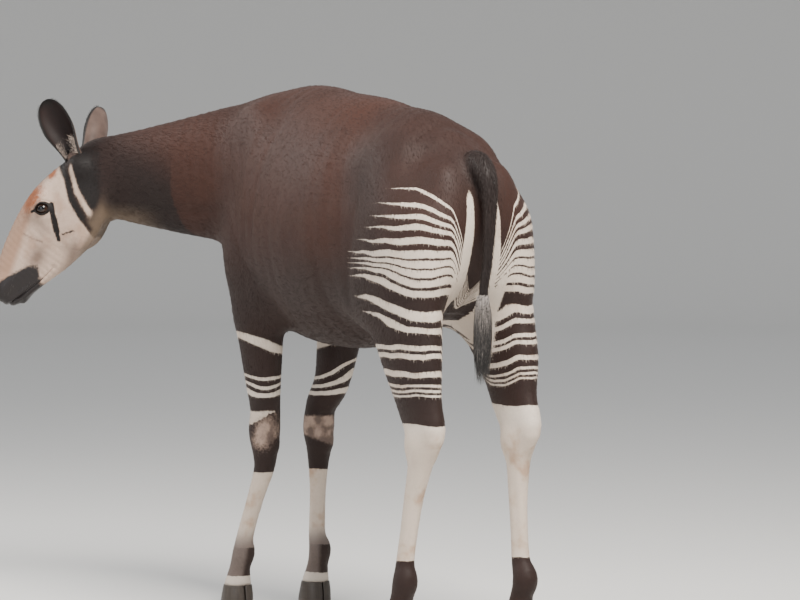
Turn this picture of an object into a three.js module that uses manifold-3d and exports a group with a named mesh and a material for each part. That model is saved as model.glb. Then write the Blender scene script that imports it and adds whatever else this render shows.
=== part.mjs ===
// A female okapi, life size, standing still with its neck stretched forward to its left.
// Millimetres. X points forward, Y to the animal's left, Z up, and the floor is Z = 0.
//
// The flesh is one smooth field: each limb is a run of oval sections along a curve, and each
// muscle or bone that shows is an oval lump blended into it. The surface of the field is
// meshed part by part and parted by flat cuts, so that neighbours meet face to face. Ears,
// eyes, lids, hooves and the tail's locks are lofts and lathes of their own.
import * as THREE from "three";
import { mergeVertices } from "three/addons/utils/BufferGeometryUtils.js";
import Module from "manifold-3d";

const wasm = await Module();
wasm.setup();

// The gap that neighbouring meshes keep
const GAP = 0.3;
const DEGREE = Math.PI / 180;

// Driving heights and lengths of the animal
const WITHERS_HEIGHT = 1498;
const CROUP_HEIGHT = 1408;
const BELLY_HEIGHT = 760;
const HEAD_LENGTH = 505;
const CORONET_HEIGHT = 62;

// Heading of the neck and of the head, to the left of straight ahead, and the head's droop
const NECK_YAW = 33 * DEGREE;
const HEAD_YAW = 50 * DEGREE;
const HEAD_PITCH = 57 * DEGREE;
const POLL = new THREE.Vector3(868, 366, 1272);

// Materials, one for each kind of surface
const coat = new THREE.MeshStandardMaterial({ color: 0x4a2a1e, roughness: 0.75, metalness: 0 });
const paleFace = new THREE.MeshStandardMaterial({ color: 0xb59a86, roughness: 0.8, metalness: 0 });
const striped = new THREE.MeshStandardMaterial({ color: 0x8a7763, roughness: 0.75, metalness: 0 });
const darkHair = new THREE.MeshStandardMaterial({ color: 0x1b1412, roughness: 0.8, metalness: 0 });
const earSkin = new THREE.MeshStandardMaterial({ color: 0x2b1814, roughness: 0.8, metalness: 0 });
const horn = new THREE.MeshStandardMaterial({ color: 0x3b332c, roughness: 0.45, metalness: 0 });
const eyeGloss = new THREE.MeshStandardMaterial({ color: 0x140d0a, roughness: 0.08, metalness: 0 });

// A distance-like value of an oval of radii (side, deep, long) at the offsets (u, v, w)
function ovalValue(u, v, w, side, deep, long) {
  const near = Math.hypot(u / side, v / deep, w / long);
  const steep = Math.hypot(u / side ** 2, v / deep ** 2, w / long ** 2);
  return steep < 1e-9 ? -Math.min(side, deep, long) : (near * (near - 1)) / steep;
}

// Joins two values with a round fillet of about the given width
function blend(a, b, width) {
  const h = Math.max(width - Math.abs(a - b), 0) / width;
  return Math.min(a, b) - (h * h * width) / 4;
}

// A run of oval sections along a smooth curve. Each station is
// [x, y, z, deep radius, side radius], and side is the direction across the run.
function run(stations, side, width, stepsEach = 4) {
  const places = new THREE.CatmullRomCurve3(
    stations.map(([x, y, z]) => new THREE.Vector3(x, y, z)), false, "catmullrom");
  const radii = new THREE.CatmullRomCurve3(
    stations.map(([, , , deep, across]) => new THREE.Vector3(deep, across, 0)), false, "catmullrom");
  const count = (stations.length - 1) * stepsEach;
  const knots = Array.from({ length: count + 1 }, (_, i) => ({
    p: places.getPoint(i / count),
    r: radii.getPoint(i / count),
  }));
  const bones = knots.slice(1).map((end, i) => {
    const start = knots[i];
    const t = end.p.clone().sub(start.p);
    const length = t.length();
    t.divideScalar(length);
    const s = side.clone().addScaledVector(t, -side.dot(t)).normalize();
    const d = new THREE.Vector3().crossVectors(t, s);
    const reach = Math.max(start.r.x, start.r.y, end.r.x, end.r.y) + length;
    return { start, end, t, s, d, length, reach };
  });
  const offset = new THREE.Vector3();
  const value = (p) => {
    let least = Infinity;
    for (const b of bones) {
      offset.copy(p).sub(b.start.p);
      if (offset.length() - b.reach > least) continue;
      const share = Math.min(1, Math.max(0, offset.dot(b.t) / b.length));
      offset.addScaledVector(b.t, -share * b.length);
      const deep = b.start.r.x + (b.end.r.x - b.start.r.x) * share;
      const across = b.start.r.y + (b.end.r.y - b.start.r.y) * share;
      least = Math.min(least, ovalValue(
        offset.dot(b.s), offset.dot(b.d), offset.dot(b.t), across, deep, Math.min(deep, across)));
    }
    return least;
  };
  return { value, width };
}

// An oval lump: centre, radii along its own X, Y and Z, and its turn as Euler angles in degrees
function lump(centre, radii, turn, width) {
  const middle = new THREE.Vector3(...centre);
  const back = new THREE.Matrix4().makeRotationFromEuler(
    new THREE.Euler(...turn.map((a) => a * DEGREE), "ZYX")).transpose();
  const q = new THREE.Vector3();
  const value = (p) => {
    q.copy(p).sub(middle).applyMatrix4(back);
    return ovalValue(q.x, q.y, q.z, ...radii);
  };
  return { value, width };
}

// The same lump on both sides of the body
function pairOf(centre, radii, turn, width) {
  const [x, y, z] = centre;
  const [a, b, c] = turn;
  return [lump(centre, radii, turn, width), lump([x, -y, z], radii, [-a, b, -c], width)];
}

const LEFTWARD = new THREE.Vector3(0, 1, 0);

// The trunk: [x, y, z, deep, side] from the buttocks to the chest
function trunk() {
  const croup = CROUP_HEIGHT;
  const back = WITHERS_HEIGHT;
  const rib = (x, top, bottom, half) => [x, 0, (top + bottom) / 2, (top - bottom) / 2, half];
  return run([
    rib(-500, croup - 62, croup - 400, 92),
    rib(-430, croup - 20, croup - 480, 132),
    rib(-340, croup + 8, croup - 560, 168),
    rib(-210, croup + 28, BELLY_HEIGHT + 56, 212),
    rib(-60, croup + 52, BELLY_HEIGHT + 4, 248),
    rib(110, back - 22, BELLY_HEIGHT, 240),
    rib(260, back, BELLY_HEIGHT + 30, 200),
    rib(370, back - 30, BELLY_HEIGHT + 90, 165),
    rib(445, back - 95, BELLY_HEIGHT + 190, 125),
  ], LEFTWARD, 60);
}

// Muscles and bones of the trunk that show
function trunkForms() {
  return [
    ...pairOf([300, 128, 1190], [120, 62, 250], [0, 14, 0], 90),
    ...pairOf([400, 122, 1035], [84, 66, 120], [0, -18, 0], 80),
    ...pairOf([-335, 120, 1280], [90, 50, 56], [12, 10, 0], 100),
    ...pairOf([-425, 132, 1060], [140, 94, 190], [-8, 12, 0], 90),
    ...pairOf([-522, 84, 1110], [66, 62, 160], [0, -4, 0], 70),
    ...pairOf([-290, 142, 930], [110, 60, 130], [0, 40, 0], 80),
    lump([405, 0, 970], [90, 96, 130], [0, 20, 0], 90),
  ];
}

// Neck sections, from inside the shoulders to the poll
function neck() {
  const along = (distance, z, deep, side) => [
    330 + distance * Math.cos(NECK_YAW),
    distance * Math.sin(NECK_YAW),
    z, deep, side];
  return run([
    along(-60, 1250, 205, 120),
    along(60, 1252, 205, 118),
    along(200, 1240, 198, 104),
    along(340, 1234, 174, 90),
    along(480, 1231, 146, 78),
    along(600, 1231, 122, 72),
    along(660, 1225, 110, 68),
  ], new THREE.Vector3(-Math.sin(NECK_YAW), Math.cos(NECK_YAW), 0), 70);
}

// Places on the head: s runs from the poll to the nose, n towards the bridge of the nose and
// l to the animal's left
const alongHead = new THREE.Vector3(
  Math.cos(HEAD_PITCH) * Math.cos(HEAD_YAW),
  Math.cos(HEAD_PITCH) * Math.sin(HEAD_YAW),
  -Math.sin(HEAD_PITCH));
const leftOfHead = new THREE.Vector3(-Math.sin(HEAD_YAW), Math.cos(HEAD_YAW), 0);
const overHead = new THREE.Vector3().crossVectors(alongHead, leftOfHead);
const headTurn = new THREE.Matrix4().makeBasis(alongHead, leftOfHead, overHead);

function onHead(s, l, n) {
  return POLL.clone()
    .addScaledVector(alongHead, s).addScaledVector(leftOfHead, l).addScaledVector(overHead, n);
}

// Head sections: distance from the poll, height of the bridge and of the jaw, half width
function head() {
  const section = (s, bridge, jaw, half) => [
    ...onHead(s, 0, (bridge + jaw) / 2).toArray(), (bridge - jaw) / 2, half];
  return run([
    section(-5, 46, -100, 60),
    section(60, 80, -114, 72),
    section(130, 106, -120, 78),
    section(200, 119, -116, 76),
    section(280, 116, -98, 62),
    section(350, 106, -72, 51),
    section(415, 88, -46, 44),
    section(HEAD_LENGTH - 45, 64, -32, 38),
  ], leftOfHead, 40);
}

// Where an eye sits, and its size
const EYE = { s: 192, l: 66, n: 52, radius: 21 };

// A lump given in the head's own directions
function headLump(s, l, n, radii, slope, width) {
  const middle = onHead(s, l, n);
  const tilt = new THREE.Matrix4().makeRotationY(slope * DEGREE);
  const back = headTurn.clone().multiply(tilt).transpose();
  const q = new THREE.Vector3();
  const value = (p) => {
    q.copy(p).sub(middle).applyMatrix4(back);
    return ovalValue(q.x, q.y, q.z, ...radii);
  };
  return { value, width };
}

function headPair(s, l, n, radii, slope, width) {
  return [headLump(s, l, n, radii, slope, width), headLump(s, -l, n, radii, slope, width)];
}

function headForms() {
  return [
    ...headPair(EYE.s - 6, 60, EYE.n + 28, [42, 18, 14], 0, 24),
    ...headPair(160, 52, -70, [80, 24, 48], 16, 40),
    ...headPair(EYE.s, 56, EYE.n - 2, [38, 22, 28], 0, 22),
    ...headPair(34, 52, 32, [34, 28, 34], 0, 30),
    ...headPair(HEAD_LENGTH - 46, 24, 34, [36, 20, 26], 0, 24),
    headLump(HEAD_LENGTH - 88, 0, -22, [52, 27, 18], 18, 20),
  ];
}

// Legs: each station is [x, y, z, deep, side]
function foreleg(side, knee, foot) {
  return run([
    [350, side * 116, 1120, 120, 62],
    [342, side * 134, 960, 122, 66],
    [340, side * 138, 860, 100, 64],
    [336, side * 132, 780, 84, 58],
    [348, side * 116, 650, 64, 47],
    [knee[0] - 4, knee[1] + side * 3, 575, 50, 43],
    [knee[0], knee[1], 515, 48, 43],
    [knee[0] + 2, knee[1], 465, 42, 39],
    [knee[0] + 6, knee[1], 405, 32, 31],
    [(knee[0] * 2 + foot[0]) / 3, (knee[1] * 2 + foot[1]) / 3, 320, 27, 25],
    [(knee[0] + foot[0] * 3) / 4 - 6, (knee[1] + foot[1] * 3) / 4, 205, 27, 26],
    [foot[0] - 32, foot[1] - side * 3, 158, 35, 33],
    [foot[0] - 15, foot[1], 112, 30, 32],
    [foot[0], foot[1], CORONET_HEIGHT - 12, 40, 44],
  ], LEFTWARD, 46);
}

function hindleg(side, gaskin, hock, foot) {
  const down = (share, offset) => hock[0] + (foot[0] - hock[0]) * share + offset;
  const across = (share) => hock[1] + (foot[1] - hock[1]) * share;
  return run([
    [-420, side * 120, 1100, 160, 90],
    [-425, side * 142, 960, 162, 86],
    [-440, side * 146, 880, 144, 78],
    [gaskin[0], gaskin[1], 745, 112, 62],
    [(gaskin[0] + hock[0]) / 2 - 4, hock[1] + side * 2, 650, 90, 47],
    [hock[0] - 8, hock[1], hock[2] + 36, 74, 41],
    [hock[0] + 2, hock[1], hock[2] - 14, 52, 38],
    [down(0.12, 2), across(0.12), hock[2] - 70, 38, 32],
    [down(0.35, 2), across(0.35), hock[2] - 150, 31, 27],
    [down(0.6, -4), across(0.6), 290, 28, 25],
    [down(0.82, -12), across(0.85), 205, 29, 27],
    [foot[0] - 32, foot[1], 158, 38, 35],
    [foot[0] - 15, foot[1], 112, 31, 33],
    [foot[0], foot[1], CORONET_HEIGHT - 12, 41, 45],
  ], LEFTWARD, 50);
}

// Where each foot, knee and hock stands
const STANCE = {
  foreLeft: { side: 1, knee: [366, 98], foot: [464, 134] },
  foreRight: { side: -1, knee: [392, -100], foot: [424, -104] },
  hindLeft: { side: 1, gaskin: [-480, 148], hock: [-520, 143, 535], foot: [-428, 160] },
  hindRight: { side: -1, gaskin: [-500, -150], hock: [-556, -142, 540], foot: [-545, -150] },
};

function legForms({ side, knee, hock }) {
  if (knee) return [
    lump([knee[0] + 16, knee[1], 510], [26, 36, 52], [0, 0, 0], 24),
    lump([knee[0] - 30, knee[1], 470], [20, 24, 28], [0, 0, 0], 20),
    lump([262, side * 130, 885], [52, 42, 66], [0, 24, 0], 50),
  ];
  return [
    lump([hock[0] - 56, hock[1], hock[2] + 34], [24, 22, 46], [0, 8, 0], 26),
    lump([hock[0] + 4, hock[1], hock[2] - 6], [44, 41, 48], [0, 0, 0], 30),
  ];
}

const legs = Object.values(STANCE);
const elements = [
  trunk(),
  ...trunkForms(),
  neck(),
  head(),
  ...headForms(),
  ...legs.map((leg) => leg.knee ? foreleg(leg.side, leg.knee, leg.foot)
    : hindleg(leg.side, leg.gaskin, leg.hock, leg.foot)),
  ...legs.flatMap(legForms),
];

// The whole animal: negative inside, positive outside
function flesh(p) {
  return elements.reduce((least, e) => blend(least, e.value(p), e.width), 1e4);
}

// Values of a field at the corners of a box of cells, closed at the rim and wherever one cell
// would hold two sheets of surface
function gridOf(field, low, high, cell) {
  const n = low.map((a, k) => Math.ceil((high[k] - a) / cell[k]) + 1);
  const index = (i, j, k) => (i * n[1] + j) * n[2] + k;
  const corner = (i, j, k) => new THREE.Vector3(
    low[0] + i * cell[0], low[1] + j * cell[1], low[2] + k * cell[2]);
  const value = new Float32Array(n[0] * n[1] * n[2]);
  for (let i = 0; i < n[0]; i++)
    for (let j = 0; j < n[1]; j++)
      for (let k = 0; k < n[2]; k++) {
        const rim = [i, j, k].some((a, axis) => a === 0 || a === n[axis] - 1);
        const here = field(corner(i, j, k));
        value[index(i, j, k)] = rim ? Math.max(here, 1) : here;
      }
  let filled = true;
  while (filled) {
    filled = false;
    for (let i = 0; i < n[0] - 1; i++)
      for (let j = 0; j < n[1] - 1; j++)
        for (let k = 0; k < n[2] - 1; k++) {
          const ids = CORNERS.map(([a, b, c]) => index(i + a, j + b, k + c));
          const mask = ids.reduce((m, id, bit) => m + (value[id] < 0 ? 1 << bit : 0), 0);
          if (SIMPLE[mask]) continue;
          const open = ids.filter((id) => value[id] >= 0).sort((a, b) => value[a] - value[b]);
          value[open[0]] = -0.2;
          filled = true;
        }
  }
  return { n, index, corner, value };
}

const CORNERS = Array.from({ length: 8 }, (_, i) => [i & 1, (i >> 1) & 1, i >> 2]);

// Whether the corners of a mask hang together along the edges of the cell
function hangsTogether(mask) {
  if (!mask) return true;
  let reached = mask & -mask;
  for (let round = 0; round < 8; round++)
    for (let bit = 0; bit < 8; bit++)
      if ((reached >> bit) & 1)
        for (const flip of [1, 2, 4]) reached |= (1 << (bit ^ flip)) & mask;
  return reached === mask;
}

const SIMPLE = Array.from({ length: 256 }, (_, mask) =>
  hangsTogether(mask) && hangsTogether(255 - mask));

// A closed mesh of where a field is zero inside a box, with one vertex in each crossed cell
function netOf(field, low, high, cell) {
  const { n, index, corner, value } = gridOf(field, low, high, cell);
  const vertexOf = new Map();
  const points = [];
  const steps = [[1, 0, 0], [0, 1, 0], [0, 0, 1]];
  for (let i = 0; i < n[0] - 1; i++)
    for (let j = 0; j < n[1] - 1; j++)
      for (let k = 0; k < n[2] - 1; k++) {
        const sum = new THREE.Vector3();
        let crossings = 0;
        steps.forEach((step, axis) => {
          const [a, b] = [0, 1, 2].filter((m) => m !== axis);
          for (let f = 0; f < 4; f++) {
            const start = [i, j, k];
            start[a] += f & 1;
            start[b] += f >> 1;
            const end = start.map((x, m) => x + step[m]);
            const from = value[index(...start)];
            const to = value[index(...end)];
            if (from < 0 === to < 0) continue;
            sum.add(corner(...start).lerp(corner(...end), from / (from - to)));
            crossings++;
          }
        });
        if (!crossings) continue;
        vertexOf.set(index(i, j, k), points.length);
        points.push(sum.divideScalar(crossings));
      }
  const quads = [];
  for (let i = 0; i < n[0] - 1; i++)
    for (let j = 0; j < n[1] - 1; j++)
      for (let k = 0; k < n[2] - 1; k++)
        steps.forEach((step, axis) => {
          const from = value[index(i, j, k)];
          const to = value[index(i + step[0], j + step[1], k + step[2])];
          if (from < 0 === to < 0) return;
          const a = steps[(axis + 1) % 3];
          const b = steps[(axis + 2) % 3];
          const ring = [[0, 0], [1, 0], [1, 1], [0, 1]].map(([u, v]) => vertexOf.get(index(
            i - u * a[0] - v * b[0], j - u * a[1] - v * b[1], k - u * a[2] - v * b[2])));
          quads.push(from < 0 ? ring : ring.reverse());
        });
  settle(points, quads, field, Math.min(...cell));
  const triangles = quads.flatMap(([a, b, c, d]) =>
    points[a].distanceTo(points[c]) < points[b].distanceTo(points[d])
      ? [a, b, c, a, c, d] : [a, b, d, b, c, d]);
  return new THREE.BufferGeometry()
    .setAttribute("position", new THREE.Float32BufferAttribute(
      points.flatMap((p) => p.toArray()), 3))
    .setIndex(triangles);
}

// Evens out the vertices and sets each one on the field's surface
function settle(points, quads, field, reach) {
  const rounds = 2;
  const small = 1.5;
  for (let round = 0; round < rounds; round++) {
    const sums = points.map(() => new THREE.Vector3());
    const counts = points.map(() => 0);
    for (const quad of quads)
      quad.forEach((a, i) => {
        sums[a].add(points[quad[(i + 1) % 4]]).add(points[quad[(i + 3) % 4]]);
        counts[a] += 2;
      });
    points.forEach((p, i) => {
      if (Math.abs(field(p)) > reach) return;
      p.lerp(sums[i].divideScalar(counts[i]), 0.5);
      const here = field(p);
      const slope = new THREE.Vector3(
        field(p.clone().setX(p.x + small)) - here,
        field(p.clone().setY(p.y + small)) - here,
        field(p.clone().setZ(p.z + small)) - here).divideScalar(small);
      const step = here / Math.max(slope.lengthSq(), 0.2);
      p.addScaledVector(slope, -Math.max(-reach / 2, Math.min(reach / 2, step)));
    });
  }
}

// Solids for joining and cutting
function solidOf(geometry) {
  const bare = geometry.clone();
  for (const name of ["normal", "uv"]) bare.deleteAttribute(name);
  const merged = mergeVertices(bare, 1e-3);
  return new wasm.Manifold(new wasm.Mesh({
    numProp: 3,
    vertProperties: new Float32Array(merged.attributes.position.array),
    triVerts: new Uint32Array(merged.index.array),
  }));
}

function largest(solid) {
  return solid.decompose().reduce((best, s) => (s.volume() > best.volume() ? s : best));
}

function meshOf(name, solid, material) {
  const { vertProperties, triVerts } = largest(solid).getMesh();
  const geometry = new THREE.BufferGeometry()
    .setAttribute("position", new THREE.BufferAttribute(vertProperties, 3))
    .setIndex(new THREE.BufferAttribute(triVerts, 1));
  geometry.computeVertexNormals();
  const mesh = new THREE.Mesh(geometry, material);
  mesh.name = name;
  return mesh;
}

// Flat cuts: a cut keeps the side that its normal points to
function cut(point, direction) {
  return { point: new THREE.Vector3(...point), normal: new THREE.Vector3(...direction).normalize() };
}

function keepAhead(solid, { point, normal }, gap = 0) {
  return solid.trimByPlane(normal.toArray(), normal.dot(point) + gap);
}

function keepBehind(solid, { point, normal }, gap = 0) {
  return solid.trimByPlane(normal.clone().negate().toArray(), -normal.dot(point) + gap);
}

const NECK_CUT = cut([452, 60, 1240], [0.84, 0.44, 0.32]);
const HEAD_CUT = cut([838, 346, 1250], [Math.cos(NECK_YAW), Math.sin(NECK_YAW), -0.16]);

// The space that a leg takes: under a slanted roof, between a front and a back wall
function legSpace(side, roof, front, back, inner, gap) {
  const size = 1400;
  const block = new THREE.BoxGeometry(size, size, size)
    .translate((front[0] + back[0]) / 2, side * (inner - gap + size / 2), size / 2 - 100);
  let space = solidOf(block);
  space = keepAhead(space, cut([0, side * roof.y, roof.z], [0, side * roof.slope, -1]), -gap);
  space = keepBehind(space, cut([front[0], 0, front[1]], [1, 0, front[2]]), -gap);
  return keepAhead(space, cut([back[0], 0, back[1]], [1, 0, back[2]]), -gap);
}

function foreSpace(side, gap) {
  return legSpace(side, { y: 40, z: 838, slope: 1.25 }, [455, 900, 0.15], [190, 900, 0], 28, gap);
}

function hindSpace(side, gap) {
  return legSpace(side, { y: 30, z: 850, slope: 1.7 }, [-190, 850, 0.42], [-900, 900, 0], 22, gap);
}

// Torso, neck and head
function torso() {
  let solid = solidOf(netOf(flesh, [-700, -340, 660], [680, 420, 1580], [52, 50, 50]));
  solid = keepBehind(solid, NECK_CUT);
  for (const side of [1, -1])
    solid = solid.subtract(foreSpace(side, GAP)).subtract(hindSpace(side, GAP));
  return meshOf("torso", solid.add(loft(TAIL_DOCK, ringAround)), coat);
}

function neckPart() {
  let solid = solidOf(netOf(flesh, [300, -180, 950], [960, 500, 1560], [44, 44, 44]));
  solid = keepAhead(solid, NECK_CUT, GAP);
  return meshOf("neck", keepBehind(solid, HEAD_CUT, GAP), coat);
}

function legPart(name, leg, fore) {
  const [left, right] = leg.side > 0 ? [6, 380] : [-380, -6];
  const low = fore ? [150, left, 20] : [-800, left, 20];
  const high = fore ? [600, right, 1180] : [-100, right, 1330];
  const space = fore ? foreSpace(leg.side, 0) : hindSpace(leg.side, 0);
  const solid = solidOf(netOf(flesh, low, high, [26, 25, 46])).intersect(space);
  return meshOf(name, keepAhead(solid, cut([0, 0, CORONET_HEIGHT], [0, 0, 1])), striped);
}

// A closed skin over rings of points, flat at both ends
function loft(stations, ringOf) {
  const rings = stations.map((station) => ringOf(station));
  const around = rings[0].length;
  const points = rings.flat();
  const triangles = [];
  rings.slice(1).forEach((_, i) => {
    for (let j = 0; j < around; j++) {
      const [a, b] = [i * around + j, i * around + ((j + 1) % around)];
      triangles.push(a, b, b + around, a, b + around, a + around);
    }
  });
  for (const [ring, start, up] of [[rings[0], 0, false], [rings.at(-1), points.length - around, true]]) {
    const middle = points.length;
    points.push(ring.reduce((m, p) => m.add(p), new THREE.Vector3()).divideScalar(around));
    for (let j = 0; j < around; j++) {
      const [a, b] = [start + j, start + ((j + 1) % around)];
      triangles.push(...(up ? [a, b, middle] : [b, a, middle]));
    }
  }
  const geometry = new THREE.BufferGeometry()
    .setAttribute("position", new THREE.Float32BufferAttribute(points.flatMap((p) => p.toArray()), 3))
    .setIndex(triangles);
  const solid = solidOf(geometry);
  return solid.volume() > 0 ? solid : solidOf(geometry.setIndex(triangles.reverse()));
}

// A level ring: [x, y, z, deep radius, side radius]
function ringAround([x, y, z, deep, side], sides = 12) {
  return Array.from({ length: sides }, (_, i) => {
    const a = (i / sides) * 2 * Math.PI;
    return new THREE.Vector3(x + deep * Math.cos(a), y + side * Math.sin(a), z);
  });
}

// The dock of the tail, part of the torso, and the tail below it
const TAIL_TOP = 1216;
const TAIL_END = 905;
const TAIL_DOCK = [
  [-556, 0, 1298, 14, 20],
  [-576, 0, 1284, 30, 30],
  [-602, 0, 1252, 32, 30],
  [-622, 0, TAIL_TOP, 25, 26],
];

function tailPart() {
  const stations = [
    [-622, 0, TAIL_TOP - GAP, 25, 26],
    [-629, 2, 1160, 20, 22],
    [-631, 6, 1090, 17, 19],
    [-629, 12, 1010, 14, 16],
    [-626, 20, 940, 12, 14],
    [-625, 24, TAIL_END, 11, 13],
  ];
  return meshOf("tail", loft(stations, ringAround), coat);
}

// The tuft: flat tapered locks around a core, from fixed random numbers
function randomFrom(seed) {
  let state = seed;
  return () => {
    state = (state * 1664525 + 1013904223) % 4294967296;
    return state / 4294967296;
  };
}

const TUFT = { seed: 11, locks: 11, end: 672 };

function lock(start, end, bow, width, thickness, facing) {
  const steps = 4;
  const stations = Array.from({ length: steps }, (_, i) => i / (steps - 1));
  const along = end.clone().sub(start).normalize();
  const across = new THREE.Vector3(-Math.sin(facing), Math.cos(facing), 0);
  const out = new THREE.Vector3(Math.cos(facing), Math.sin(facing), 0);
  return loft(stations, (t) => {
    const middle = start.clone().lerp(end, t).addScaledVector(out, bow * Math.sin(Math.PI * t));
    const half = (width / 2) * (0.35 + 0.95 * Math.sin(Math.PI * Math.min(1, t * 0.9 + 0.12)) ** 0.8)
      * (t > 0.99 ? 0.35 : 1);
    const thick = (thickness / 2) * (1 - 0.75 * t);
    return [[-half, 0], [0, -thick], [half, 0], [0, thick]].map(([u, v]) =>
      middle.clone().addScaledVector(across, u).addScaledVector(out, v)
        .addScaledVector(along, t * 0.01));
  });
}

function tuftPart() {
  const random = randomFrom(TUFT.seed);
  let solid = loft([
    [-625, 24, TAIL_END - GAP, 11, 13],
    [-625, 25, 850, 17, 20],
    [-624, 26, 780, 19, 22],
    [-623, 27, 715, 9, 10],
    [-623, 27, 690, 2, 2],
  ], ringAround);
  for (let i = 0; i < TUFT.locks; i++) {
    const facing = i * 2.4 + random() * 0.4;
    const high = TAIL_END - 22 - 110 * (i / TUFT.locks) - random() * 8;
    const low = Math.max(TUFT.end, high - 130 - random() * 50) + random() * 14;
    const spread = 10 + random() * 12;
    const start = new THREE.Vector3(
      -625 + 6 * Math.cos(facing), 25 + 7 * Math.sin(facing), high);
    const end = new THREE.Vector3(
      -623 + spread * Math.cos(facing), 27 + spread * Math.sin(facing), low);
    solid = solid.add(lock(start, end, 9 + random() * 4, 26 + random() * 8, 11, facing));
  }
  return meshOf("tail_tuft", solid, darkHair);
}

// Eyes, lids, nostrils, mouth and ears

function eyeCentre(side) {
  return onHead(EYE.s, side * EYE.l, EYE.n);
}

function ball(centre, radius, wide, tall) {
  return solidOf(new THREE.SphereGeometry(radius, wide, tall).translate(...centre.toArray()));
}

// A round cord along a smooth curve through the points
function cord(points, radiusAt, sides) {
  const curve = new THREE.CatmullRomCurve3(points);
  const count = Math.round(points.length * 1.5);
  const { normals, binormals } = curve.computeFrenetFrames(count);
  const stations = Array.from({ length: count + 1 }, (_, i) => i);
  return loft(stations, (i) => Array.from({ length: sides }, (_, j) => {
    const a = (j / sides) * 2 * Math.PI;
    return curve.getPointAt(i / count)
      .addScaledVector(normals[i], radiusAt(i / count) * Math.cos(a))
      .addScaledVector(binormals[i], radiusAt(i / count) * Math.sin(a));
  }));
}

// The lids: a shell around the eyeball with an almond opening, longest along the head
const LID_THICKNESS = 3.6;

function lids(side) {
  const centre = eyeCentre(side);
  const out = leftOfHead.clone().multiplyScalar(side).addScaledVector(overHead, 0.1).normalize();
  const along = alongHead.clone().addScaledVector(out, -alongHead.dot(out)).normalize();
  const up = new THREE.Vector3().crossVectors(along, out).multiplyScalar(side).normalize();
  const opening = loft([2, 48], (reach) => Array.from({ length: 12 }, (_, i) => {
    const a = (i / 12) * 2 * Math.PI;
    return centre.clone().addScaledVector(out, reach)
      .addScaledVector(along, 17.5 * Math.cos(a))
      .addScaledVector(up, 11.5 * Math.sin(a) * (1 - 0.25 * Math.abs(Math.cos(a))) - 2 * Math.cos(a));
  }));
  return ball(centre, EYE.radius + LID_THICKNESS, 16, 11).subtract(opening);
}

// A point on the skin, straight out from the head's middle plane
function skinAt(s, side, n) {
  let [near, far] = [0, 120];
  for (let i = 0; i < 18; i++) {
    const half = (near + far) / 2;
    if (flesh(onHead(s, side * half, n)) < 0) near = half;
    else far = half;
  }
  return onHead(s, side * near, n);
}

// The line where the lips meet, from the left corner around the nose to the right corner
function mouthLine() {
  const corner = { s: 326, n: -62 };
  const front = { s: HEAD_LENGTH - 14, n: 2 };
  const cheek = [0, 0.22, 0.44, 0.66, 0.86].map((t) => [
    corner.s + (front.s - corner.s) * t,
    corner.n + (front.n - corner.n) * t - 7 * Math.sin(Math.PI * t)]);
  const left = cheek.map(([s, n]) => skinAt(s, 1, n));
  const right = cheek.map(([s, n]) => skinAt(s, -1, n)).reverse();
  let reach = HEAD_LENGTH - 60;
  while (flesh(onHead(reach, 0, 2)) < 0) reach += 1;
  return [...left, onHead(reach, 0, 2), ...right];
}

function nostril(side) {
  const middle = skinAt(HEAD_LENGTH - 30, side, 40);
  const shape = solidOf(new THREE.SphereGeometry(1, 10, 7)
    .scale(15, 9, 5)
    .rotateY(-0.5)
    .applyMatrix4(headTurn)
    .translate(...middle.toArray()));
  return shape;
}

// Where each ear grows, the way it points and the way its cup opens
const EARS = {
  left: {
    base: { s: 34, l: 50, n: 40 },
    axis: new THREE.Vector3(0.33, 0.41, 1).normalize(),
    open: new THREE.Vector3(-0.55, 0.8, 0.1).normalize(),
  },
  right: {
    base: { s: 34, l: -50, n: 40 },
    axis: new THREE.Vector3(0.5, -0.53, 0.86).normalize(),
    open: new THREE.Vector3(0.75, 0.5, -0.2).normalize(),
  },
};
const EAR_LENGTH = 214;
const EAR_THICKNESS = 5;

function earFrame({ base, axis, open }) {
  const root = onHead(base.s, base.l, base.n);
  const face = open.clone().addScaledVector(axis, -open.dot(axis)).normalize();
  return { root, axis, face, wide: new THREE.Vector3().crossVectors(axis, face) };
}

// A curled leaf: narrow and nearly closed at the root, broad past the middle, round at the tip
function earShell(ear) {
  const { root, axis, face, wide } = earFrame(ear);
  const across = 6;
  const stations = [0, 0.1, 0.22, 0.36, 0.5, 0.64, 0.77, 0.87, 0.94, 0.98, 1];
  return loft(stations, (t) => {
    const spread = THREE.MathUtils.smoothstep(t, 0, 0.55);
    const tip = t < 0.6 ? 1 : Math.sqrt(1 - ((t - 0.6) / 0.4) ** 2);
    const width = Math.max(4, (24 + 21 * spread) * tip);
    const curl = (112 - 46 * t) * DEGREE;
    const cup = width * (1.25 - 0.8 * t);
    const height = 26 + (EAR_LENGTH - 26) * t;
    const bend = -16 * t * t;
    const wing = Math.max(Math.sin(Math.min(curl, Math.PI / 2)), 0.6);
    const arc = (u, thick) => {
      const a = u * curl;
      const deep = (Math.cos(a) - Math.cos(curl)) / (1 - Math.cos(curl));
      return root.clone().addScaledVector(axis, height)
        .addScaledVector(face, bend - cup * deep - thick * Math.cos(a))
        .addScaledVector(wide, (width / wing + thick) * Math.sin(a));
    };
    const thick = EAR_THICKNESS * (1 - 0.3 * t);
    const outer = Array.from({ length: across + 1 }, (_, j) => arc(-1 + (2 * j) / across, thick));
    const inner = Array.from({ length: across - 1 }, (_, j) => arc(1 - (2 * (j + 1)) / across, 0));
    return [...outer, ...inner];
  });
}

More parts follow.
